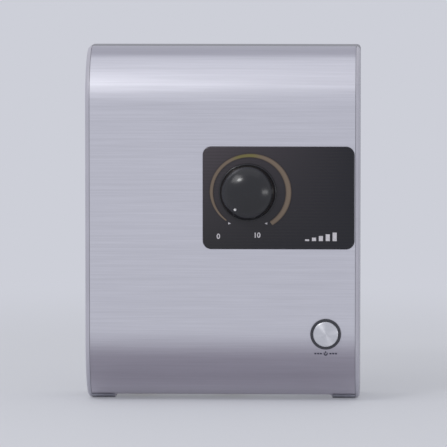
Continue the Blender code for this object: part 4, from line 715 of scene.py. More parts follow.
def solder_mask(base):
    """Glass-epoxy board under green solder mask: glossy, with paler copper tracks showing through."""
    cloud = (cube_of(0.01), 2.0, {"gloss": 0.1})
    material, tree, shader, spot = surface("green_solder_mask", base, roughness=0.3, patterns=(cloud,))
    flat = add_node(tree, "ShaderNodeMapping", {"Vector": spot, "Rotation": (QUARTER, 0, 0)})
    tracks = add_node(tree, "ShaderNodeTexBrick", {
        "Vector": flat,
        "Color1": (*base, 1),
        "Color2": (*scaled(base, 0.85), 1),
        "Mortar": (*scaled(base, 1.9), 1),
        "Scale": 1.0,
        "Brick Width": 0.009,
        "Row Height": 0.0026,
        "Mortar Size": 0.0003,
    })
    tree.links.new(tracks.outputs["Color"], shader.inputs["Base Color"])
    return material


def wire_gauze(base, pitch=0.0009):
    """Woven stainless gauze of 0.6 mm openings, drawn as a raised grid of wires."""
    material, tree, shader, spot = surface("woven_stainless_gauze", base, roughness=0.3, metallic=1.0)
    around, along = (
        add_node(
            tree, "ShaderNodeTexWave", {"Vector": spot, "Scale": WAVE_SPAN / pitch}, bands_direction=way
        ).outputs["Fac"]
        for way in "ZX"
    )
    weave = add_node(tree, "ShaderNodeMath", {0: around, 1: along}, operation="MAXIMUM")
    bump = add_node(tree, "ShaderNodeBump", {"Height": weave, "Distance": 0.0003})
    tree.links.new(bump.outputs["Normal"], shader.inputs["Normal"])
    tone = {0: weave, 6: (*scaled(base, 0.25), 1), 7: (*base, 1)}
    mix = add_node(tree, "ShaderNodeMix", tone, data_type="RGBA")
    tree.links.new(mix.outputs[2], shader.inputs["Base Color"])
    return material


def pvc_sheath(name, base):
    """Extruded PVC sheath: an even soft gloss."""
    drift = (cube_of(0.01), 2.0, {"tone": 0.3, "gloss": 0.08})
    return surface(name, base, roughness=0.35, ior=1.53, patterns=(drift,))[0]


# Case

def bridge(settings, inset, steps=10):
    """Outline of the case with a recess between its feet, drawn in by the inset."""
    right, top = settings.half_width - inset, settings.half_height - inset
    corner = settings.corner
    inner = settings.half_width - settings.foot_width + inset
    roof = -settings.half_height + settings.recess_height + inset
    outline = [(inner, roof), (inner, -top)]
    for v, quarter in ((corner - top, 3), (top - corner, 0)):
        turns = arc(quarter * QUARTER, QUARTER, steps)
        outline += [(right - corner + corner * c, v + corner * s) for c, s in turns]
    return outline + [(-u, v) for u, v in reversed(outline)]


def roll(settings, inset, rim, steps=40):
    """Open section of the cover in Y and Z: a flat front between two quarter rolls."""
    radius = settings.roll_radius - inset
    middle = settings.half_height - settings.roll_radius
    top = [(rim - radius * s, middle + radius * c) for c, s in arc(0, QUARTER, steps)]
    return top + [(y, -z) for y, z in reversed(top)]


def roll_band(settings, outer_inset, inner_inset, rim, tail=0.0):
    """Closed band between two such sections, run on past the rim by the tail."""
    outer, inner = roll(settings, outer_inset, rim), roll(settings, inner_inset, rim)
    if tail:
        outer, inner = (
            [(rim + tail, line[0][1]), *line, (rim + tail, line[-1][1])] for line in (outer, inner)
        )
    return outer + inner[::-1]


def notch_shape(settings, rim):
    """Room under the cover between its feet."""
    inner = settings.half_width - settings.foot_width
    top = -settings.half_height + settings.foot_height
    outline = rounded(-inner, inner, top - settings.recess_height, top, settings.notch_round)
    return bar(outline, rim + PAST, low_of("cover_shell").y - PAST, "Y")


def keyhole(x, z, radius=0.0045, neck=0.0023, rise=0.0085):
    """Outline of a round hole with a narrower slot over it."""
    lean = math.asin(neck / radius)
    hole = arc(QUARTER + lean, math.tau - 2 * lean, 32)
    slot = arc(0, math.pi, 16)
    return [(x + radius * c, z + radius * s) for c, s in hole] + [
        (x + neck * c, z + rise + neck * s) for c, s in slot
    ]


def build_tray(settings):
    edge, depth, wall = settings.back_edge, settings.base_depth, settings.wall
    layers = [(-edge * (1 - c), bridge(settings, edge * (1 - s))) for c, s in arc(0, QUARTER, 4)]
    tray = body("rear_tray", loft(layers + [(-depth, bridge(settings, 0))], "Y"))
    carve(tray, [bar(bridge(settings, wall), -wall, -depth - PAST, "Y")])
    roof = -settings.half_height + settings.recess_height
    # A keyhole and, lower down, a level slot on either side: how far in from the side, down from the top
    # and up from the roof of the recess
    keyhole_in, keyhole_down, slot_in, slot_up = 0.040, 0.0295, 0.066, 0.0435
    half_slot, half_neck, slot_corner = 0.0045, 0.0023, 0.00225
    cuts = []
    for side in (-1, 1):
        hole = keyhole(side * (settings.half_width - keyhole_in), settings.half_height - keyhole_down)
        x, z = side * (settings.half_width - slot_in), roof + wall + slot_up
        slot = rounded(x - half_slot, x + half_slot, z - half_neck, z + half_neck, slot_corner)
        cuts += [bar(outline, PAST, -wall - PAST, "Y") for outline in (hole, slot)]
    for node, radius in (
        ("outlet_tail", 0.0105),
        ("inlet_tail", 0.0105),
        ("regulator_spindle", 0.0043),
        ("cable_grommet", 0.0073),
        ("cover_screw_1", SCREW_HOLE),
        ("cover_screw_2", SCREW_HOLE),
    ):
        cuts.append(rod(radius, roof - PAST, roof + wall + PAST, centre_of(node).xy, "Z"))
    carve(tray, cuts)
    # A boss under each strap screw
    boss_radius, boss_height, hole_inset = 0.004, 0.004, 0.00525
    start, end = -wall + OFF_FACE, -wall - boss_height
    ring = [(SCREW_HOLE, start), (boss_radius, start), (boss_radius, end), (SCREW_HOLE, end)]
    bosses = []
    for strap in ("tank_strap_upper", "tank_strap_lower"):
        low, high = box_of(strap)
        for x in (low.x + hole_inset, high.x - hole_inset):
            bosses.append(lathe(ring, (x, (low.z + high.z) / 2), "Y", 32))
    carve(tray, bosses, "UNION")
    plastic = moulded_abs("spark_eroded_mid_grey_abs", settings.tray_colour, 0.5)
    hand_in(smooth(tray), plastic, "case", "base_plastic", "rear_base")


def build_foot_caps(settings):
    """Thin rubber caps over the lowest part of both feet."""
    rim = high_of("front_skin").y
    thickness, room, reach = 0.0004, 0.00005, 0.050
    half = settings.half_width - settings.edge_round - settings.gap
    caps = body("foot_caps", bar(roll_band(settings, -thickness, -room, rim), -half, half, "X"))
    inner = settings.half_width - settings.foot_width
    low, high = -settings.half_height, -settings.half_height + settings.foot_height
    kept = [
        block((side * inner, rim - reach, low), (side * (half + PAST), rim + PAST, high))
        for side in (-1, 1)
    ]
    carve(caps, kept, "INTERSECT")
    rubber = moulded_rubber("moulded_grey_rubber", settings.cap_colour)
    hand_in(smooth(caps), rubber, "case", "rubber")


def cover_hollow(settings, rim, lip):
    """Section of the room inside the cover, in Y and Z, open at the rim above the lip."""
    wall = settings.shell_wall
    floor = -settings.half_height + settings.foot_height + wall
    radius = settings.roll_radius - wall
    drop = settings.half_height - settings.roll_radius + floor
    return [point for point in roll(settings, wall, rim) if point[1] > floor] + [
        (rim - math.sqrt(radius * radius - drop * drop), floor),
        (rim - wall, floor),
        (rim - wall, lip),
        (rim + PAST, lip),
        (rim + PAST, settings.half_height - wall),
    ]


def build_cover(settings):
    """Moulded cover under the sheet, whose cheeks and feet stay in sight."""
    rim, front = high_of("front_skin").y, low_of("cover_shell").y
    edge, wall, gap = settings.edge_round, settings.shell_wall, settings.gap
    layers = [
        (edge - settings.half_width - edge * c, roll(settings, edge * (1 - s), rim))
        for c, s in arc(0, QUARTER, 8)
    ]
    layers += [(-x, outline) for x, outline in reversed(layers)]
    cover = body("cover_moulding", loft(layers, "X"))
    half = settings.half_width - edge
    seat = bar(roll_band(settings, -PAST, settings.sheet + gap, rim, PAST), -half, half, "X")
    carve(cover, [seat])
    lip = high_of("cover_screw_1").z - FIT
    half = settings.half_width - wall
    carve(cover, [bar(cover_hollow(settings, rim, lip), -half, half, "X")])
    roof = -settings.half_height + settings.recess_height + settings.wall
    top = settings.half_height - settings.wall - gap
    # An ear for each screw at the bottom, and a tongue on either side at the top
    half_ear, ear_reach, screw_end = 0.005, 0.010, 0.002
    tongue_in, half_tongue, tongue_front, tongue_back, tongue = 0.060, 0.007, 0.0095, 0.006, 0.002
    fixings, screw_holes = [], []
    for side, node in ((-1, "cover_screw_1"), (1, "cover_screw_2")):
        spot = centre_of(node)
        fixings.append(block(
            (spot.x - half_ear, rim - wall + OFF_FACE, roof + FIT),
            (spot.x + half_ear, rim + ear_reach, lip - OFF_FACE),
        ))
        x = side * (settings.half_width - tongue_in)
        fixings.append(block(
            (x - half_tongue, rim - tongue_front, top - tongue), (x + half_tongue, rim + tongue_back, top)
        ))
        screw_holes.append(rod(SCREW_HOLE, roof - PAST, lip - screw_end, spot.xy, "Z"))
    carve(cover, fixings, "UNION")
    holes = [notch_shape(settings, rim)]
    for node, radius in (("control_shaft", SHAFT_HOLE), ("button_bezel", BUTTON_HOLE)):
        spot = centre_of(node)
        holes.append(rod(radius, front - PAST, front + wall + PAST, (spot.x, spot.z), "Y"))
    carve(cover, holes + screw_holes)
    plastic = moulded_abs("satin_light_grey_abs", settings.cheek_colour, 0.38)
    hand_in(smooth(cover), plastic, "case", "cover_plastic", "cover_shell")


def build_sheet(settings):
    """Brushed sheet that rolls over the cover, cut out round the panel and the button."""
    rim, front = high_of("front_skin").y, low_of("cover_shell").y
    gap = settings.gap
    half = settings.half_width - settings.edge_round - gap
    sheet = body("brushed_sheet", bar(roll_band(settings, 0, settings.sheet, rim), -half, half, "X"))
    low, high = box_of("control_panel")
    button = centre_of("button_bezel")
    window = rounded(low.x - gap, high.x + gap, low.z - gap, high.z + gap, PANEL_CORNER + gap)
    through = front + 0.003
    carve(sheet, [
        notch_shape(settings, rim),
        bar(window, through, front - PAST, "Y"),
        rod(BUTTON_HOLE, front - PAST, through, (button.x, button.z), "Y", 96),
    ])
    metal = brushed_aluminium_with_painted_shade(settings.metal_colour, settings.half_height)
    hand_in(smooth(sheet, settings.sheet_edge), metal, "case", "front_metal", "front_skin")


# Panel, scale and prints

def build_panel(settings):
    low, high = box_of("control_panel")
    edge = settings.edge

    def outline(inset):
        return rounded(
            low.x + inset, high.x - inset, low.z + inset, high.z - inset, settings.corner - inset
        )

    layers = [(high.y, outline(0))]
    layers += [(low.y + edge - edge * s, outline(edge * (1 - c))) for c, s in arc(0, QUARTER, 4)]
    panel = body("gloss_panel", loft(layers, "Y"))
    knob = centre_of("control_shaft")
    carve(panel, [rod(SHAFT_HOLE, low.y - PAST, high.y + PAST, (knob.x, knob.z), "Y")])
    acrylic = gloss_acrylic(settings.panel_colour, low, high)
    hand_in(smooth(panel), acrylic, "case", "black_gloss", "control_panel")


def scale_tree(material, settings, centre):
    """Crescent that swells outwards on its right, as a grid bent round the knob and given a thickness."""
    sizes = {
        "Inner radius": settings.ring_radius,
        "Start width": settings.ring_start,
        "Width": settings.ring_width,
        "Run-in": settings.ring_run,
        "Inner swell": settings.ring_inner,
        "Outer swell": settings.ring_outer,
        "From": settings.ring_from,
        "Sweep": settings.ring_sweep,
        "Middle": settings.ring_middle,
        "Reach": settings.ring_reach,
        "Thickness": settings.ring_thickness,
        "Steps": 144,
    }
    tree, given = geometry_tree("crescent_scale", sizes)
    unit = {"Size X": 1.0, "Size Y": 1.0, "Vertices X": given["Steps"], "Vertices Y": 9}
    grid = add_node(tree, "GeometryNodeMeshGrid", unit)
    spot = add_node(tree, "ShaderNodeSeparateXYZ", {"Vector": add_node(tree, "GeometryNodeInputPosition")})
    known = {**dict(given.items()), **dict(zip("xyz", spot.outputs))}
    # Each step: its result, its operation, and the inputs, earlier results or numbers that it takes
    for result, operation, *values in (
        ("along", "ADD", "x", 0.5),
        ("across", "ADD", "y", 0.5),
        ("turn", "MULTIPLY_ADD", "Sweep", "along", "From"),
        ("from middle", "SUBTRACT", "turn", "Middle"),
        ("distance", "ABSOLUTE", "from middle"),
        ("way", "DIVIDE", "distance", "Reach"),
        ("way in reach", "MINIMUM", "way", 1.0),
        ("bend", "MULTIPLY", "way in reach", QUARTER),
        ("bell", "COSINE", "bend"),
        ("swell", "POWER", "bell", 2.0),
        ("run", "DIVIDE", "along", "Run-in"),
        ("run-in done", "MINIMUM", "run", 1.0),
        ("growth", "SUBTRACT", "Width", "Start width"),
        ("width", "MULTIPLY_ADD", "growth", "run-in done", "Start width"),
        ("inner", "MULTIPLY_ADD", "Inner swell", "swell", "Inner radius"),
        ("even outer", "ADD", "Inner radius", "width"),
        ("outer", "MULTIPLY_ADD", "Outer swell", "swell", "even outer"),
        ("band", "SUBTRACT", "outer", "inner"),
        ("radius", "MULTIPLY_ADD", "across", "band", "inner"),
        ("sine", "SINE", "turn"),
        ("cosine", "COSINE", "turn"),
        ("ring x", "MULTIPLY_ADD", "radius", "sine", centre.x),
        ("ring z", "MULTIPLY_ADD", "radius", "cosine", centre.z),
        ("lift", "MULTIPLY", "Thickness", -1.0),
    ):
        inputs = {slot: known.get(value, value) for slot, value in enumerate(values)}
        known[result] = add_node(tree, "ShaderNodeMath", inputs, operation=operation)
    kept = grid
    for label in ("along", "across"):
        store = {"Geometry": kept, "Name": label, "Value": known[label]}
        kept = add_node(tree, "GeometryNodeStoreNamedAttribute", store)
    flat = add_node(
        tree, "ShaderNodeCombineXYZ", {"X": known["ring x"], "Y": centre.y, "Z": known["ring z"]}
    )
    bent = add_node(tree, "GeometryNodeSetPosition", {"Geometry": kept, "Position": flat})
    lift = add_node(tree, "ShaderNodeCombineXYZ", {"Y": known["lift"]})
    up = {"Mesh": bent, "Offset": lift, "Offset Scale": 1.0, "Individual": False}
    raised = add_node(tree, "GeometryNodeExtrudeMesh", up)
    back = add_node(tree, "GeometryNodeFlipFaces", {"Mesh": bent})
    whole = add_node(tree, "GeometryNodeJoinGeometry")
    for side in (raised, back):
        tree.links.new(side.outputs[0], whole.inputs[0])
    sealed = add_node(tree, "GeometryNodeMergeByDistance", {"Geometry": whole, "Distance": 0.000001})
    close_tree(tree, sealed, material)
    return tree, sizes


def build_scale(settings):
    knob = centre_of("control_shaft")
    ink = crescent_ink(settings.ring_light, settings.ring_dark, settings.ring_gold)
    tree, sizes = scale_tree(ink, settings, Vector((knob.x, high_of("scale_ring").y, knob.z)))
    ring = grow("crescent_scale", tree, sizes)
    face_outwards(ring.data)
    hand_in(smooth(ring), None, "case", "amber_print", "scale_ring")


def number_mesh(name, words, size, x, z, face, depth):
    """Number as a thin raised print, centred on a place of the front."""
    curve = bpy.data.curves.new(name, "FONT")
    curve.body = words
    curve.size = size
    curve.extrude = depth / 2
    # Makes the strokes a little bolder
    curve.offset = size * 0.02
    curve.align_x, curve.align_y = "CENTER", "CENTER"
    text = standing(name, curve)
    mesh = settled(text)
    bpy.data.objects.remove(text)
    mesh.transform(Matrix.Translation((x, face - depth / 2, z)) @ Matrix.Rotation(QUARTER, 4, "X"))
    return standing(name, mesh)


def bars_tree(material, sizes):
    """Row of level bars, each taller than the one before."""
    tree, given = geometry_tree("level_bars", sizes)
    pitch = add_node(tree, "ShaderNodeCombineXYZ", {"X": given["Pitch"]})
    row = add_node(tree, "GeometryNodeMeshLine", {"Count": given["Bars"], "Offset": pitch})
    size = {"X": given["Width"], "Y": given["Depth"], "Z": given["Height"]}
    cube = add_node(tree, "GeometryNodeMeshCube", {"Size": add_node(tree, "ShaderNodeCombineXYZ", size)})
    half = add_node(tree, "ShaderNodeMath", {0: given["Height"], 1: 0.5}, operation="MULTIPLY")
    rise = add_node(tree, "ShaderNodeCombineXYZ", {"Z": half})
    foot = add_node(tree, "GeometryNodeTransform", {"Geometry": cube, "Translation": rise})
    index = add_node(tree, "GeometryNodeInputIndex")
    step = add_node(tree, "ShaderNodeMath", {0: index, 1: 1.0}, operation="ADD")
    part = add_node(tree, "ShaderNodeMath", {0: step, 1: given["Bars"]}, operation="DIVIDE")
    taller = add_node(tree, "ShaderNodeCombineXYZ", {"X": 1.0, "Y": 1.0, "Z": part})
    bars = add_node(
        tree, "GeometryNodeInstanceOnPoints", {"Points": row, "Instance": foot, "Scale": taller}
    )
    close_tree(tree, bars, material)
    return tree


def build_prints(settings):
    face = low_of("control_panel").y
    depth = settings.print_height
    knob = centre_of("control_shaft")
    ink = print_ink("light_grey_screen_ink", settings.mark_colour)
    for name, words, x, z in (
        ("number_low", "0", -0.0028, -0.0074),
        ("number_high", "10", 0.0253, -0.0065),
    ):
        piece = number_mesh(name, words, settings.number_size, x, z, face, depth)
        hand_in(piece, ink, "case", "white_print")
    # A small triangle at either end of the scale: how far it is from the knob's axis, how far its tip and
    # its back are from there, and half its height
    away, tip, back, half = 0.0262, 0.0009, 0.0011, 0.0008
    marks = []
    for angle, lean in ((210, -1), (150, 1)):
        turn = math.radians(angle)
        x, z = knob.x + away * math.sin(turn), knob.z + away * math.cos(turn)
        triangle = [(x + lean * back, z + half), (x + lean * back, z - half), (x - lean * tip, z)]
        marks.append(bar(triangle, face, face - depth, "Y"))
    hand_in(body("end_marks", joined(marks)), ink, "case", "white_print")
    sizes = {"Bars": 5, "Pitch": 0.0050, "Width": 0.0030, "Height": 0.0062, "Depth": depth}
    first_bar, bar_foot = 0.0618, -0.0105
    bars = grow("level_bars", bars_tree(ink, sizes), sizes)
    bars.data.transform(Matrix.Translation((first_bar, face - depth / 2, bar_foot)))
    hand_in(bars, None, "case", "white_print")


# Knob

def dome_height(settings, radius, fullness=2.4, roundness=0.56):
    """Height of the dome over the knob's back, at a distance from its axis."""
    base = settings.skirt + settings.chamfer
    rise = (1 - min(1.0, radius / settings.dome_radius) ** fullness) ** roundness
    return base + (settings.depth - base) * rise


def build_knob(settings):
    shaft = centre_of("control_shaft")
    back = high_of("control_knob").y
    centre = (shaft.x, shaft.z)
    rim_edge, dome_steps = 0.0003, 40
    profile = [(0, back), (settings.radius - rim_edge, back), (settings.radius, back - rim_edge)]
    for c, s in arc(0, QUARTER, 4):
        out, up = settings.chamfer * (1 - c), settings.chamfer * s
        profile.append((settings.radius - out, back - settings.skirt - up))
    profile.append((settings.dome_radius, back - settings.skirt - settings.chamfer))
    for c, _ in arc(0, QUARTER, dome_steps)[1:-1]:
        radius = settings.dome_radius * c
        profile.append((radius, back - dome_height(settings, radius)))
    profile.append((0, back - settings.depth))
    knob = body("domed_knob", lathe(profile, centre, "Y", settings.sides))
    low, high = box_of("knob_marker")
    dot_centre = ((low.x + high.x) / 2, (low.z + high.z) / 2)
    dot_room, dot_reach = 0.00015, 0.006
    bore = rod(STEM_HOLE, back + PAST, low_of("control_shaft").y - FIT, centre, "Y")
    hole = rod(settings.dot_radius + dot_room, high.y + FIT, low.y - dot_reach, dot_centre, "Y")
    carve(knob, [bore, hole])
    gloss = gloss_abs("polished_black_abs", settings.knob_colour, 0.22)
    hand_in(smooth(knob, angle=28), gloss, "knob", "black_gloss", "control_knob")
    # The dot is crowned, and stands a little over its solid
    radius, top = settings.dot_radius, low.y
    crown = [(0, top - 0.00015), (radius * 0.7, top - 0.0001), (radius, top + 0.0002)]
    dot = [*crown, (radius, high.y), (0, high.y)]
    piece = smooth(body("white_dot", lathe(dot, dot_centre, "Y", 32)))
    paint = print_ink("white_fill_paint", settings.dot_colour)
    hand_in(piece, paint, "knob", "white_print", "knob_marker")


# Button

def build_button(settings):
    low, high = box_of("test_button")
    ring_low, ring_high = box_of("button_bezel")
    spot = centre_of("button_bezel")
    centre = (spot.x, spot.z)
    cap_depth, stem_radius, crown_steps, sides = 0.005, 0.003, 12, 96
    cap_back = ring_low.y + cap_depth
    reach, crown = settings.radius - settings.edge, settings.dome - settings.edge * 0.5
    radii = [reach * i / crown_steps for i in range(crown_steps + 1)]
    profile = [(radius, low.y + crown * (radius / settings.radius) ** 2) for radius in radii]
    edge, crown_low = settings.edge, profile[-1][1]
    profile += [(reach + edge * s, crown_low + edge * (1 - c)) for c, s in arc(0, QUARTER, 8)[1:]]
    profile += [(settings.radius, cap_back), (stem_radius, cap_back), (stem_radius, high.y), (0, high.y)]
    cap = smooth(body("chrome_cap", lathe(profile, centre, "Y", sides)))
    hand_in(cap, spun_chrome(settings.chrome_colour), "button", "chrome", "test_button")
    # The ring: radii of its opening, of its lip and of its sleeve, and the floor that the stem goes through
    inner, outer, sleeve, floor = 0.0092, 0.0112, 0.01, 0.001
    edge = settings.ring_edge
    lip_back = low_of("front_skin").y - FIT
    profile = []
    for i, (c, s) in enumerate(arc(0, math.pi, 6)):
        middle = inner + edge if i < 3 else outer - edge
        profile.append((middle - edge * c, ring_low.y + edge - edge * s))
    profile += [
        (outer, lip_back), (sleeve, lip_back), (sleeve, ring_high.y), (STEM_HOLE, ring_high.y),
        (STEM_HOLE, ring_high.y - floor), (inner, ring_high.y - floor),
    ]
    ring = smooth(body("dark_ring", lathe(profile, centre, "Y", sides)))
    gloss = gloss_abs("gloss_black_abs", settings.ring_colour, 0.16)
    hand_in(ring, gloss, "case", "black_gloss", "button_bezel")
    build_button_symbol(settings, spot)


def build_button_symbol(settings, button):
    """Plain on-off symbol between two dashed lines, where such buttons are marked."""
    face = low_of("front_skin").y
    depth, drop = settings.print_height, 0.0143
    x, z = button.x, button.z - drop
    outer, inner, gap, steps = 0.00145, 0.00085, math.radians(50), 24
    half_stem, stem_low, stem_high = 0.0003, 0.0002, 0.0018
    first_dash, dash_pitch, half_dash, half_line = 0.0035, 0.0020, 0.0007, 0.00045
    turns = arc(gap, math.tau - 2 * gap, steps)
    ring = [(x + outer * s, z + outer * c) for c, s in turns]
    ring += [(x + inner * s, z + inner * c) for c, s in reversed(turns)]
    outlines = [ring, rectangle(x - half_stem, x + half_stem, z + stem_low, z + stem_high)]
    for side in (-1, 1):
        for index in range(3):
            middle = x + side * (first_dash + dash_pitch * index)
            dash = (middle - half_dash, middle + half_dash, z - half_line, z + half_line)
            outlines.append(rectangle(*dash))
    piece = body("button_symbol", joined(bar(outline, face, face - depth, "Y") for outline in outlines))
    hand_in(piece, print_ink("navy_pad_print", settings.print_colour), "case", "white_print")


# Water connections

def thread_tree(sizes):
    """Presses a helical groove into the part of a turned body that is at least as wide as the thread."""
    tree, given = geometry_tree("helical_thread", sizes)
    spot = add_node(tree, "ShaderNodeSeparateXYZ", {"Vector": add_node(tree, "GeometryNodeInputPosition")})
    known = {**dict(given.items()), **dict(zip("xyz", spot.outputs))}
    # Each step: its result, its operation, and the inputs, earlier results or numbers that it takes
    for result, operation, *values in (
        ("u", "SUBTRACT", "x", "Centre X"),
        ("v", "SUBTRACT", "y", "Centre Y"),
        ("u squared", "MULTIPLY", "u", "u"),
        ("v squared", "MULTIPLY", "v", "v"),
        ("radius squared", "ADD", "u squared", "v squared"),
        ("radius", "SQRT", "radius squared"),
        ("angle", "ARCTAN2", "v", "u"),
        ("turns", "DIVIDE", "angle", math.tau),
        ("pitches", "DIVIDE", "z", "Pitch"),
        ("wound", "SUBTRACT", "pitches", "turns"),
        ("phase", "FRACT", "wound"),
        ("wave", "MULTIPLY_ADD", "phase", 2.0, -1.0),
        ("groove", "ABSOLUTE", "wave"),
        ("root", "SUBTRACT", "Radius", "Depth"),
        ("wide", "GREATER_THAN", "radius", "root"),
        ("above", "GREATER_THAN", "z", "Low"),
        ("below", "LESS_THAN", "z", "High"),
        ("wide above", "MULTIPLY", "wide", "above"),
        ("here", "MULTIPLY", "wide above", "below"),
        ("deep", "MULTIPLY", "groove", "Depth"),
        ("inward", "MULTIPLY", "deep", "here"),
        ("safe radius", "MAXIMUM", "radius", 0.0001),
        ("part", "DIVIDE", "inward", "safe radius"),
        ("inwards", "MULTIPLY", "part", -1.0),
        ("shift x", "MULTIPLY", "u", "inwards"),
        ("shift y", "MULTIPLY", "v", "inwards"),
    ):
        inputs = {slot: known.get(value, value) for slot, value in enumerate(values)}
        known[result] = add_node(tree, "ShaderNodeMath", inputs, operation=operation)
    offset = add_node(tree, "ShaderNodeCombineXYZ", {"X": known["shift x"], "Y": known["shift y"]})
    return tree, add_node(
        tree, "GeometryNodeSetPosition", {"Geometry": given["Geometry"], "Offset": offset}
    )


def threaded(name, profile, centre, low, high, pitch, depth, sides, material):
    """Turned body whose widest stretch from low to high carries a thread."""
    radius = max(spot[0] for spot in profile if low <= spot[1] <= high)
    fine = []
    for one, two in zip(profile, profile[1:]):
        fine.append(one)
        if one[0] == two[0] == radius:
            steps = round(abs(two[1] - one[1]) / pitch * THREAD_STEPS)
            fine += [(radius, one[1] + (two[1] - one[1]) * i / steps) for i in range(1, steps)]
    fine.append(profile[-1])
    source = body(name, lathe(fine, centre, "Z", sides))
    sizes = {
        "Pitch": pitch, "Depth": depth, "Radius": radius, "Low": low, "High": high,
        "Centre X": centre[0], "Centre Y": centre[1],
    }
    tree, groove = thread_tree(sizes)
    close_tree(tree, groove, material)
    mesh = source.data
    bpy.data.objects.remove(source)
    return grow(name, tree, sizes, mesh)


def build_tail(settings, name, material):
    """Threaded connection with its flange inside the case."""
    low, high = box_of(f"{name}_tail")
    centre = tuple(centre_of(f"{name}_tail").xy)
    lead, thread = settings.lead, settings.thread_radius
    flange = settings.flange_radius
    flange_low = -high_of("rear_base").z + settings.flange_rise
    flange_high = flange_low + settings.flange_height
    bore = settings.outlet_bore if name == "outlet" else settings.inlet_bore
    profile = [
        (bore, low.z + lead), (bore + lead, low.z), (thread - 2 * lead, low.z), (thread, low.z + 2 * lead),
        (thread, flange_low), (flange - lead / 2, flange_low), (flange, flange_low + lead / 2),
        (flange, flange_high - lead / 2), (flange - lead / 2, flange_high),
    ]
    if name == "outlet":
        profile += [(settings.outlet_neck, flange_high), (settings.outlet_neck, high.z)]
    profile.append((bore, profile[-1][1]))
    tail = threaded(
        f"{name}_connection", profile, centre, low.z + 2 * lead, high_of(f"{name}_nut").z,
        settings.pitch, settings.thread_depth, 72, material,
    )
    hand_in(smooth(tail, angle=50), None, "case", "brass", f"{name}_tail")
    build_nut(settings, name, centre, material)


def build_nut(settings, name, centre, material):
    """Hexagon nut, turned off at its corners and countersunk at both mouths."""
    low, high = low_of(f"{name}_nut").z, high_of(f"{name}_nut").z
    flats, corner = settings.hex_flats / 2, settings.hex_flats / math.sqrt(3)
    hexagon = [(centre[0] + corner * c, centre[1] + corner * s) for c, s in arc(0, math.tau, 6)[:6]]
    nut = body(f"{name}_hexagon_nut", bar(hexagon, low, high, "Z"))
    # The cone that takes the corners off, and the small rim it starts from
    shy, start, slope = 0.0003, 0.0004, math.radians(30)
    drop = (corner - flats) * math.tan(slope) + start
    narrow, wide = flats - shy, corner + shy
    blank = [(0, low), (narrow, low), (wide, low + drop), (wide, high - drop), (narrow, high), (0, high)]
    carve(nut, [lathe(blank, centre, "Z", 96)], "INTERSECT")
    room, past, sink = settings.thread_radius + FIT, 0.001, 0.0006
    mouth = room + past + sink
    hole = [
        (0, low - past), (mouth, low - past), (room, low + sink),
        (room, high - sink), (mouth, high + past), (0, high + past),
    ]
    carve(nut, [lathe(hole, centre, "Z", 72)])
    hand_in(smooth(nut, angle=25), material, "case", "brass", f"{name}_nut")


def soft_edge(radius, along, edge, inwards):
    """Three points that round a turned edge, from its end face to its side."""
    return [
        (radius - edge, along),
        (radius - edge * 0.3, along + inwards * edge * 0.3),
        (radius, along + inwards * edge),
    ]


def build_grommet(settings):
    low, high = box_of("cable_grommet")
    outer, neck, bore, lip, edge = 0.009, 0.007, 0.004, 0.002, 0.0006
    profile = []
    for along, way in ((low.z, 1), (high.z, -1)):
        ring = [
            (bore, along + way * edge), (bore + edge * 0.3, along + way * edge * 0.3), (bore + edge, along),
            *soft_edge(outer, along, edge, way), (outer, along + way * lip), (neck, along + way * lip),
        ]
        profile += ring[::way]
    grommet = smooth(body("cable_bush", lathe(profile, centre_of("cable_grommet").xy, "Z", 72)))
    rubber = moulded_rubber("moulded_black_rubber", settings.grommet_colour)
    hand_in(grommet, rubber, "case", "rubber", "cable_grommet")


def ribs_tree(material, sizes):
    """Round ribs that stand in a ring."""
    tree, given = geometry_tree("grip_ribs", sizes)
    circle = {"Vertices": given["Ribs"], "Radius": given["Ring radius"]}
    ring = add_node(tree, "GeometryNodeMeshCircle", circle)
    round_bar = {"Vertices": 10, "Radius": given["Rib radius"], "Depth": given["Length"]}
    rib = add_node(tree, "GeometryNodeMeshCylinder", round_bar)
    ribs = add_node(tree, "GeometryNodeInstanceOnPoints", {"Points": ring, "Instance": rib})
    close_tree(tree, ribs, material)
    return tree


def build_regulator(settings):
    low, high = box_of("regulator_spindle")
    spot = centre_of("regulator_spindle")
    grip, top, edge = settings.grip_radius, low.z + settings.grip_height, 0.0006
    half_groove, groove_depth, rib_clear, rib_sunk = 0.00045, 0.0018, 0.0025, 0.0001
    profile = [
        (0, low.z), *soft_edge(grip, low.z, edge, 1), *soft_edge(grip, top, edge, -1)[::-1],
        (settings.spindle_radius, top), (settings.spindle_radius, high.z), (0, high.z),
    ]
    knob = body("regulator_grip", lathe(profile, spot.xy, "Z", 72))
    carve(knob, [block(
        (spot.x - grip - PAST, spot.y - half_groove, low.z - PAST),
        (spot.x + grip + PAST, spot.y + half_groove, low.z + groove_depth),
    )])
    plastic = moulded_abs("spark_eroded_black_abs", settings.grip_colour, 0.45)
    hand_in(smooth(knob), plastic, "regulator", "black_plastic", "regulator_spindle")
    sizes = {
        "Ribs": settings.grip_ribs, "Ring radius": grip - rib_sunk,
        "Rib radius": settings.rib_radius, "Length": settings.grip_height - rib_clear,
    }
    ribs = grow("grip_ribs", ribs_tree(plastic, sizes), sizes)
    ribs.data.transform(Matrix.Translation((spot.x, spot.y, (low.z + top) / 2)))
    hand_in(smooth(ribs), None, "regulator", "black_plastic")


# Screws and springs

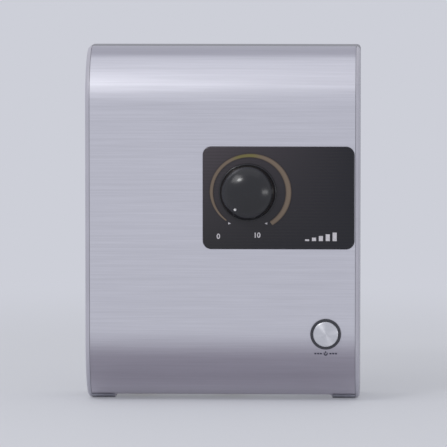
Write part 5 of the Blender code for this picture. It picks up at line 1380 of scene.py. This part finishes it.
def screw_blank(settings, name, reach):
    """Pan-head screw along +Z from its head, which stands below zero, with a cross recess."""
    head, shank, rise = settings.head_radius, settings.shank_radius, settings.head_height
    profile = [
        (0, -rise), (head * 0.45, -rise + 0.0001), (head * 0.75, -rise + 0.0004),
        (head - 0.0002, -rise + 0.0010), (head, -0.0007), (head, 0.0), (shank, 0.0),
        (shank, reach - shank), (0, reach),
    ]
    first_turn, last_turn, steel = 0.0008, reach - shank, zinc_plated_screw(settings.steel_colour)
    blank = threaded(
        name, profile, (0, 0), first_turn, last_turn,
        settings.screw_pitch, settings.screw_thread, 24, steel,
    )
    # Each arm of the cross narrows towards its floor
    over, deep, narrow, short = 0.001, 0.0011, 0.7, 0.55
    for half, span in ((0.0005, 0.0017), (0.0017, 0.0005)):
        mouth = rectangle(-half, half, -span, span)
        floor = [(u * narrow, v * short) for u, v in mouth]
        carve(blank, [loft([(-rise - over, mouth), (-rise + deep, floor)], "Z")])
    return smooth(blank, angle=40)


def screws_tree(sizes):
    """Puts one screw on each point, along the way that the point's aim says."""
    tree, given = geometry_tree("placed_screws", sizes)
    tree.interface.new_socket("Screw", in_out="INPUT", socket_type="NodeSocketObject")
    tree.interface.new_socket("Finish", in_out="INPUT", socket_type="NodeSocketMaterial")
    item = add_node(tree, "GeometryNodeObjectInfo", {"Object": given["Screw"]})
    aim = add_node(tree, "GeometryNodeInputNamedAttribute", {"Name": "aim"}, data_type="FLOAT_VECTOR")
    turn = add_node(tree, "FunctionNodeAlignRotationToVector", {"Vector": aim}, axis="Z")
    placed = add_node(tree, "GeometryNodeInstanceOnPoints", {
        "Points": given["Geometry"],
        "Instance": item.outputs["Geometry"],
        "Rotation": turn,
        "Scale": add_node(tree, "ShaderNodeCombineXYZ", dict.fromkeys("XYZ", given["Size"])),
    })
    close_tree(tree, placed, given["Finish"])
    return tree


def build_screws(settings):
    tree = screws_tree({"Size": 1.0})
    for name, nodes, aim in (
        ("cover_screws", ("cover_screw_1", "cover_screw_2"), (0, 0, 1)),
        ("board_screws", ("board_screw_1", "board_screw_2"), (0, -1, 0)),
        ("terminal_screws", ("terminal_screw_1", "terminal_screw_2", "terminal_screw_3"), (0, 1, 0)),
        ("triac_screws", ("triac_screw",), (0, 1, 0)),
        ("strap_screws", ("strap_screw_upper", "strap_screw_lower"), (0, 1, 0)),
    ):
        low, high = box_of(nodes[0])
        way = Vector(aim)
        span = abs((high - low).dot(way))
        head_end = settings.head_height - span / 2
        screw = screw_blank(settings, f"{name}_blank", span - settings.head_height)
        seats = bpy.data.meshes.new(name)
        seats.from_pydata([centre_of(node) + way * head_end for node in nodes], [], [])
        aims = seats.attributes.new("aim", "FLOAT_VECTOR", "POINT")
        aims.data.foreach_set("vector", list(aim) * len(nodes))
        chosen = {"Screw": screw, "Finish": screw.data.materials[0], "Size": 1.0}
        piece = grow(name, tree, chosen, seats)
        bpy.data.objects.remove(screw)
        hand_in(smooth(piece, angle=40), None, "case", "steel", *nodes)


def coil_tree(material, sizes):
    """Round wire wound into an even helix along +Z."""
    tree, given = geometry_tree("wound_spring", sizes)
    helix = add_node(tree, "GeometryNodeCurveSpiral", {
        "Resolution": 32, "Rotations": given["Turns"], "Height": given["Length"],
        "Start Radius": given["Radius"], "End Radius": given["Radius"],
    })
    circle = {"Resolution": 14, "Radius": given["Wire radius"]}
    section = add_node(tree, "GeometryNodeCurvePrimitiveCircle", circle)
    swept = {"Curve": helix, "Profile Curve": section, "Fill Caps": True}
    close_tree(tree, add_node(tree, "GeometryNodeCurveToMesh", swept), material)
    return tree


def build_spring(settings, node, name, axis, turns, material):
    low, high = box_of(node)
    along, wire = "XYZ".index(axis), settings.wire_radius
    sizes = {
        "Turns": float(turns),
        "Radius": (high.x - low.x) / 2 - wire,
        "Length": high[along] - low[along] - 2 * wire,
        "Wire radius": wire,
    }
    spring = grow(name, coil_tree(material, sizes), sizes)
    moves = [Matrix.Translation((0, 0, -sizes["Length"] / 2))]
    if axis == "Y":
        moves.append(Matrix.Rotation(-QUARTER, 4, "X"))
    for move in (*moves, Matrix.Translation((low + high) / 2)):
        spring.data.transform(move)
    return hand_in(smooth(spring, angle=60), None, "case", "steel", node)


def build_springs(settings):
    steel = drawn_metal("drawn_spring_steel", settings.spring_colour, 0.28, cube_of(0.002))
    spring = build_spring(settings, "button_spring", "return_spring", "Y", 5, steel)
    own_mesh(spring)
    spring = build_spring(settings, "flow_spring", "piston_spring", "Z", 7, steel)
    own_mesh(spring)


# Pieces inside, whose solids already have their shape

def dress_inside(settings):
    steel, resin, rubber = settings.steel_colour, settings.resin_colour, settings.rubber_colour
    finishes = (
        (moulded_rubber("foamed_seal_rubber", rubber), "case_seal"),
        (moulded_rubber("moulded_nitrile_rubber", rubber), "inlet_hose flow_piston"),
        (filled_resin("black_filled_resin", resin), "triac reed_switch thermal_cutout"),
        (moulded_abs("moulded_black_abs", resin, 0.42), "button_nut breaker_test_key breaker_lever"),
        (moulded_nylon(settings.nylon_colour), "breaker_body terminal_block cable_clamp flow_housing"),
        (zinc_plate(steel), "button_clip potentiometer tank_strap_upper tank_strap_lower"),
        (drawn_metal("turned_nickel_steel", steel, 0.25, (0.004, 0.0005, 0.004)), "control_shaft"),
        (drawn_metal("spun_stainless_steel", steel, 0.32, (0.03, 0.03, 0.0012)), "tank_body tank_lid"),
        (
            drawn_metal("oxidised_element_sheath", settings.sheath_colour, 0.45, cube_of(0.004)),
            "heating_element",
        ),
        (drawn_metal("drawn_copper", settings.copper_colour, 0.24, (0.002, 0.002, 0.03)), "outlet_pipe"),
        (
            drawn_metal("extruded_aluminium", settings.aluminium_colour, 0.36, (0.0012, 0.0012, 0.05)),
            "heat_sink",
        ),
        (turned_metal("turned_brass_inside", settings.brass_colour, "X"), "inlet_block cutout_reset_pin"),
        (solder_mask(settings.board_colour), "control_board"),
        (wire_gauze(steel), "inlet_filter"),
        (pvc_sheath("red_pvc", settings.live_colour), "wire_live_in wire_live_out"),
        (pvc_sheath("blue_pvc", settings.neutral_colour), "wire_neutral_in wire_neutral_out"),
        (pvc_sheath("green_pvc", settings.earth_colour), "wire_earth"),
    )
    for material, nodes in finishes:
        for node in nodes.split():
            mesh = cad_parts[node].data
            mesh.materials.clear()
            mesh.materials.append(material)


# Stage

# Each lamp: its name, the setting of its power, its two sizes and its place from the heater's middle
LAMPS = (
    ("upper_left_softbox", "key", (1.0, 1.0), (-1.25, -0.95, 1.5)),
    ("overhead_softbox", "top", (2.4, 1.5), (0.0, -0.25, 1.7)),
    ("front_card", "front", (0.4, 0.32), (-0.87, -1.43, 1.39)),
    ("right_card", "side", (0.9, 0.3), (1.5, -0.85, 0.05)),
)


def shown(tree):
    """One for rays that show what is behind: those of the camera, of gloss and of glass."""
    rays = add_node(tree, "ShaderNodeLightPath").outputs
    seen = {0: rays["Is Camera Ray"], 1: rays["Is Glossy Ray"]}
    both = {0: add_node(tree, "ShaderNodeMath", seen, operation="MAXIMUM"), 1: rays["Is Transmission Ray"]}
    return add_node(tree, "ShaderNodeMath", both, operation="MAXIMUM")


def painted_floor(settings):
    """Matt paint that takes the heater's shadow, and goes over into the plain backdrop further out."""
    drift = (cube_of(0.4), 2.0, {"tone": 0.04})
    material, tree, shader, spot = surface(
        "matt_painted_floor", settings.floor_colour, roughness=0.8, patterns=(drift,)
    )
    away = add_node(tree, "ShaderNodeVectorMath", {0: spot}, operation="LENGTH").outputs["Value"]
    limits = {
        "Value": away,
        "From Min": settings.floor_near,
        "From Max": settings.floor_far,
        "To Min": settings.floor_plain,
    }
    fade = add_node(tree, "ShaderNodeMapRange", limits, interpolation_type="SMOOTHSTEP")
    part = add_node(tree, "ShaderNodeMath", {0: fade, 1: shown(tree)}, operation="MULTIPLY")
    glow = {"Color": (*settings.backdrop_colour, 1), "Strength": 1.0}
    plain = add_node(tree, "ShaderNodeEmission", glow)
    ended = add_node(tree, "ShaderNodeMixShader", {0: part, 1: shader, 2: plain})
    tree.links.new(ended.outputs[0], tree.nodes["Material Output"].inputs["Surface"])
    return material


def build_floor(settings):
    half, level = settings.floor_size / 2, low_of("cover_shell").z
    mesh = bpy.data.meshes.new("floor")
    corners = [(x, y, level) for x, y in rectangle(-half, half, -half, half)]
    mesh.from_pydata(corners, [], [(0, 1, 2, 3)])
    mesh.materials.append(painted_floor(settings))
    standing("floor", mesh)


def build_sky(settings):
    """Even light all round, seen by the camera, by gloss and by glass as a plain pale backdrop."""
    world = bpy.data.worlds.new("pale_backdrop")
    bpy.context.scene.world = world
    world.use_nodes = True
    tree = world.node_tree
    tree.nodes.clear()
    light, backdrop = (
        add_node(tree, "ShaderNodeBackground", {"Color": (*tone, 1), "Strength": strength})
        for tone, strength in (((1, 1, 1), settings.sky), (settings.backdrop_colour, 1.0))
    )
    mix = add_node(tree, "ShaderNodeMixShader", {0: shown(tree), 1: light, 2: backdrop})
    add_node(tree, "ShaderNodeOutputWorld", {"Surface": mix})


def aimed(thing, spot, way):
    """Puts a lamp or a camera at a spot, looking along a way."""
    thing.location = spot
    thing.rotation_euler = way.to_track_quat("-Z", "Y").to_euler()
    return thing


def build_stage(settings):
    build_floor(settings)
    build_sky(settings)
    middle = centre_of("cover_shell")
    for name, power, size, offset in LAMPS:
        light = bpy.data.lights.new(name, "AREA")
        light.shape, light.size, light.size_y = "RECTANGLE", *size
        light.energy = getattr(settings, power)
        spot = middle + Vector(offset)
        aimed(standing(name, light), spot, middle - spot)
    data = bpy.data.cameras.new("camera")
    data.lens = settings.lens
    turn, rise = settings.azimuth, settings.elevation
    away = Vector((math.sin(turn) * math.cos(rise), -math.cos(turn) * math.cos(rise), math.sin(rise)))
    scene = bpy.context.scene
    scene.camera = aimed(standing("camera", data), middle + away * settings.distance, -away)
    scene.view_settings.view_transform = "Standard"


# Operators

class HEATER_OT_case(bpy.types.Operator):
    """Builds the rear tray, the moulded cover, the brushed sheet on it and the caps on its feet"""

    bl_idname = "heater.case"
    bl_label = "Case"

    def execute(self, context):
        settings = context.scene.heater_case
        build_tray(settings)
        build_cover(settings)
        build_sheet(settings)
        build_foot_caps(settings)
        return {"FINISHED"}


class HEATER_OT_panel(bpy.types.Operator):
    """Builds the gloss panel, its crescent scale and the printed marks"""

    bl_idname = "heater.panel"
    bl_label = "Panel and scale"

    def execute(self, context):
        build_panel(context.scene.heater_panel)
        build_scale(context.scene.heater_panel)
        build_prints(context.scene.heater_panel)
        return {"FINISHED"}


class HEATER_OT_knob(bpy.types.Operator):
    """Builds the power knob and its white dot"""

    bl_idname = "heater.knob"
    bl_label = "Power knob"

    def execute(self, context):
        build_knob(context.scene.heater_knob)
        return {"FINISHED"}


class HEATER_OT_button(bpy.types.Operator):
    """Builds the chrome button, its dark ring and the symbol under it"""

    bl_idname = "heater.button"
    bl_label = "Push button"

    def execute(self, context):
        build_button(context.scene.heater_button)
        return {"FINISHED"}


class HEATER_OT_connections(bpy.types.Operator):
    """Builds the two water connections, the cable bush and the flow regulator"""

    bl_idname = "heater.connections"
    bl_label = "Connections"

    def execute(self, context):
        settings = context.scene.heater_connections
        material = turned_metal("turned_brass", settings.brass_colour, "Z")
        build_tail(settings, "outlet", material)
        build_tail(settings, "inlet", material)
        build_grommet(settings)
        build_regulator(settings)
        return {"FINISHED"}


class HEATER_OT_fixings(bpy.types.Operator):
    """Builds all the screws and both springs"""

    bl_idname = "heater.fixings"
    bl_label = "Screws and springs"

    def execute(self, context):
        build_screws(context.scene.heater_fixings)
        build_springs(context.scene.heater_fixings)
        return {"FINISHED"}


class HEATER_OT_inside(bpy.types.Operator):
    """Gives the pieces inside the case their finishes"""

    bl_idname = "heater.inside"
    bl_label = "Inside"

    def execute(self, context):
        dress_inside(context.scene.heater_inside)
        return {"FINISHED"}


class HEATER_OT_stage(bpy.types.Operator):
    """Builds the floor, the backdrop, the soft lights and the camera"""

    bl_idname = "heater.stage"
    bl_label = "Stage"

    def execute(self, context):
        build_stage(context.scene.heater_stage)
        return {"FINISHED"}


class HEATER_PT_build(bpy.types.Panel):
    """Lists the steps that build the heater, and their settings"""

    bl_label = "Water heater"
    bl_idname = "HEATER_PT_build"
    bl_space_type = "VIEW_3D"
    bl_region_type = "UI"
    bl_category = "Water heater"

    def draw(self, context):
        for step in STEPS:
            self.layout.operator(step.bl_idname)
        for group in SETTINGS:
            settings = getattr(context.scene, group)
            box = self.layout.box()
            for name in settings.__annotations__:
                box.prop(settings, name)


STEPS = (
    HEATER_OT_case,
    HEATER_OT_panel,
    HEATER_OT_knob,
    HEATER_OT_button,
    HEATER_OT_connections,
    HEATER_OT_fixings,
    HEATER_OT_inside,
    HEATER_OT_stage,
)
SETTINGS = {
    "heater_case": CaseSettings,
    "heater_panel": PanelSettings,
    "heater_knob": KnobSettings,
    "heater_button": ButtonSettings,
    "heater_connections": ConnectionSettings,
    "heater_fixings": FixingSettings,
    "heater_inside": InsideSettings,
    "heater_stage": StageSettings,
}
KINDS = (*SETTINGS.values(), *STEPS, HEATER_PT_build)


def register():
    for kind in KINDS:
        bpy.utils.register_class(kind)
    for name, kind in SETTINGS.items():
        setattr(bpy.types.Scene, name, PointerProperty(type=kind))


def unregister():
    for name in SETTINGS:
        delattr(bpy.types.Scene, name)
    for kind in reversed(KINDS):
        bpy.utils.unregister_class(kind)


def main():
    register()
    for step in STEPS:
        getattr(bpy.ops.heater, step.bl_idname.split(".")[1])()


if __name__ == "__main__":
    main()
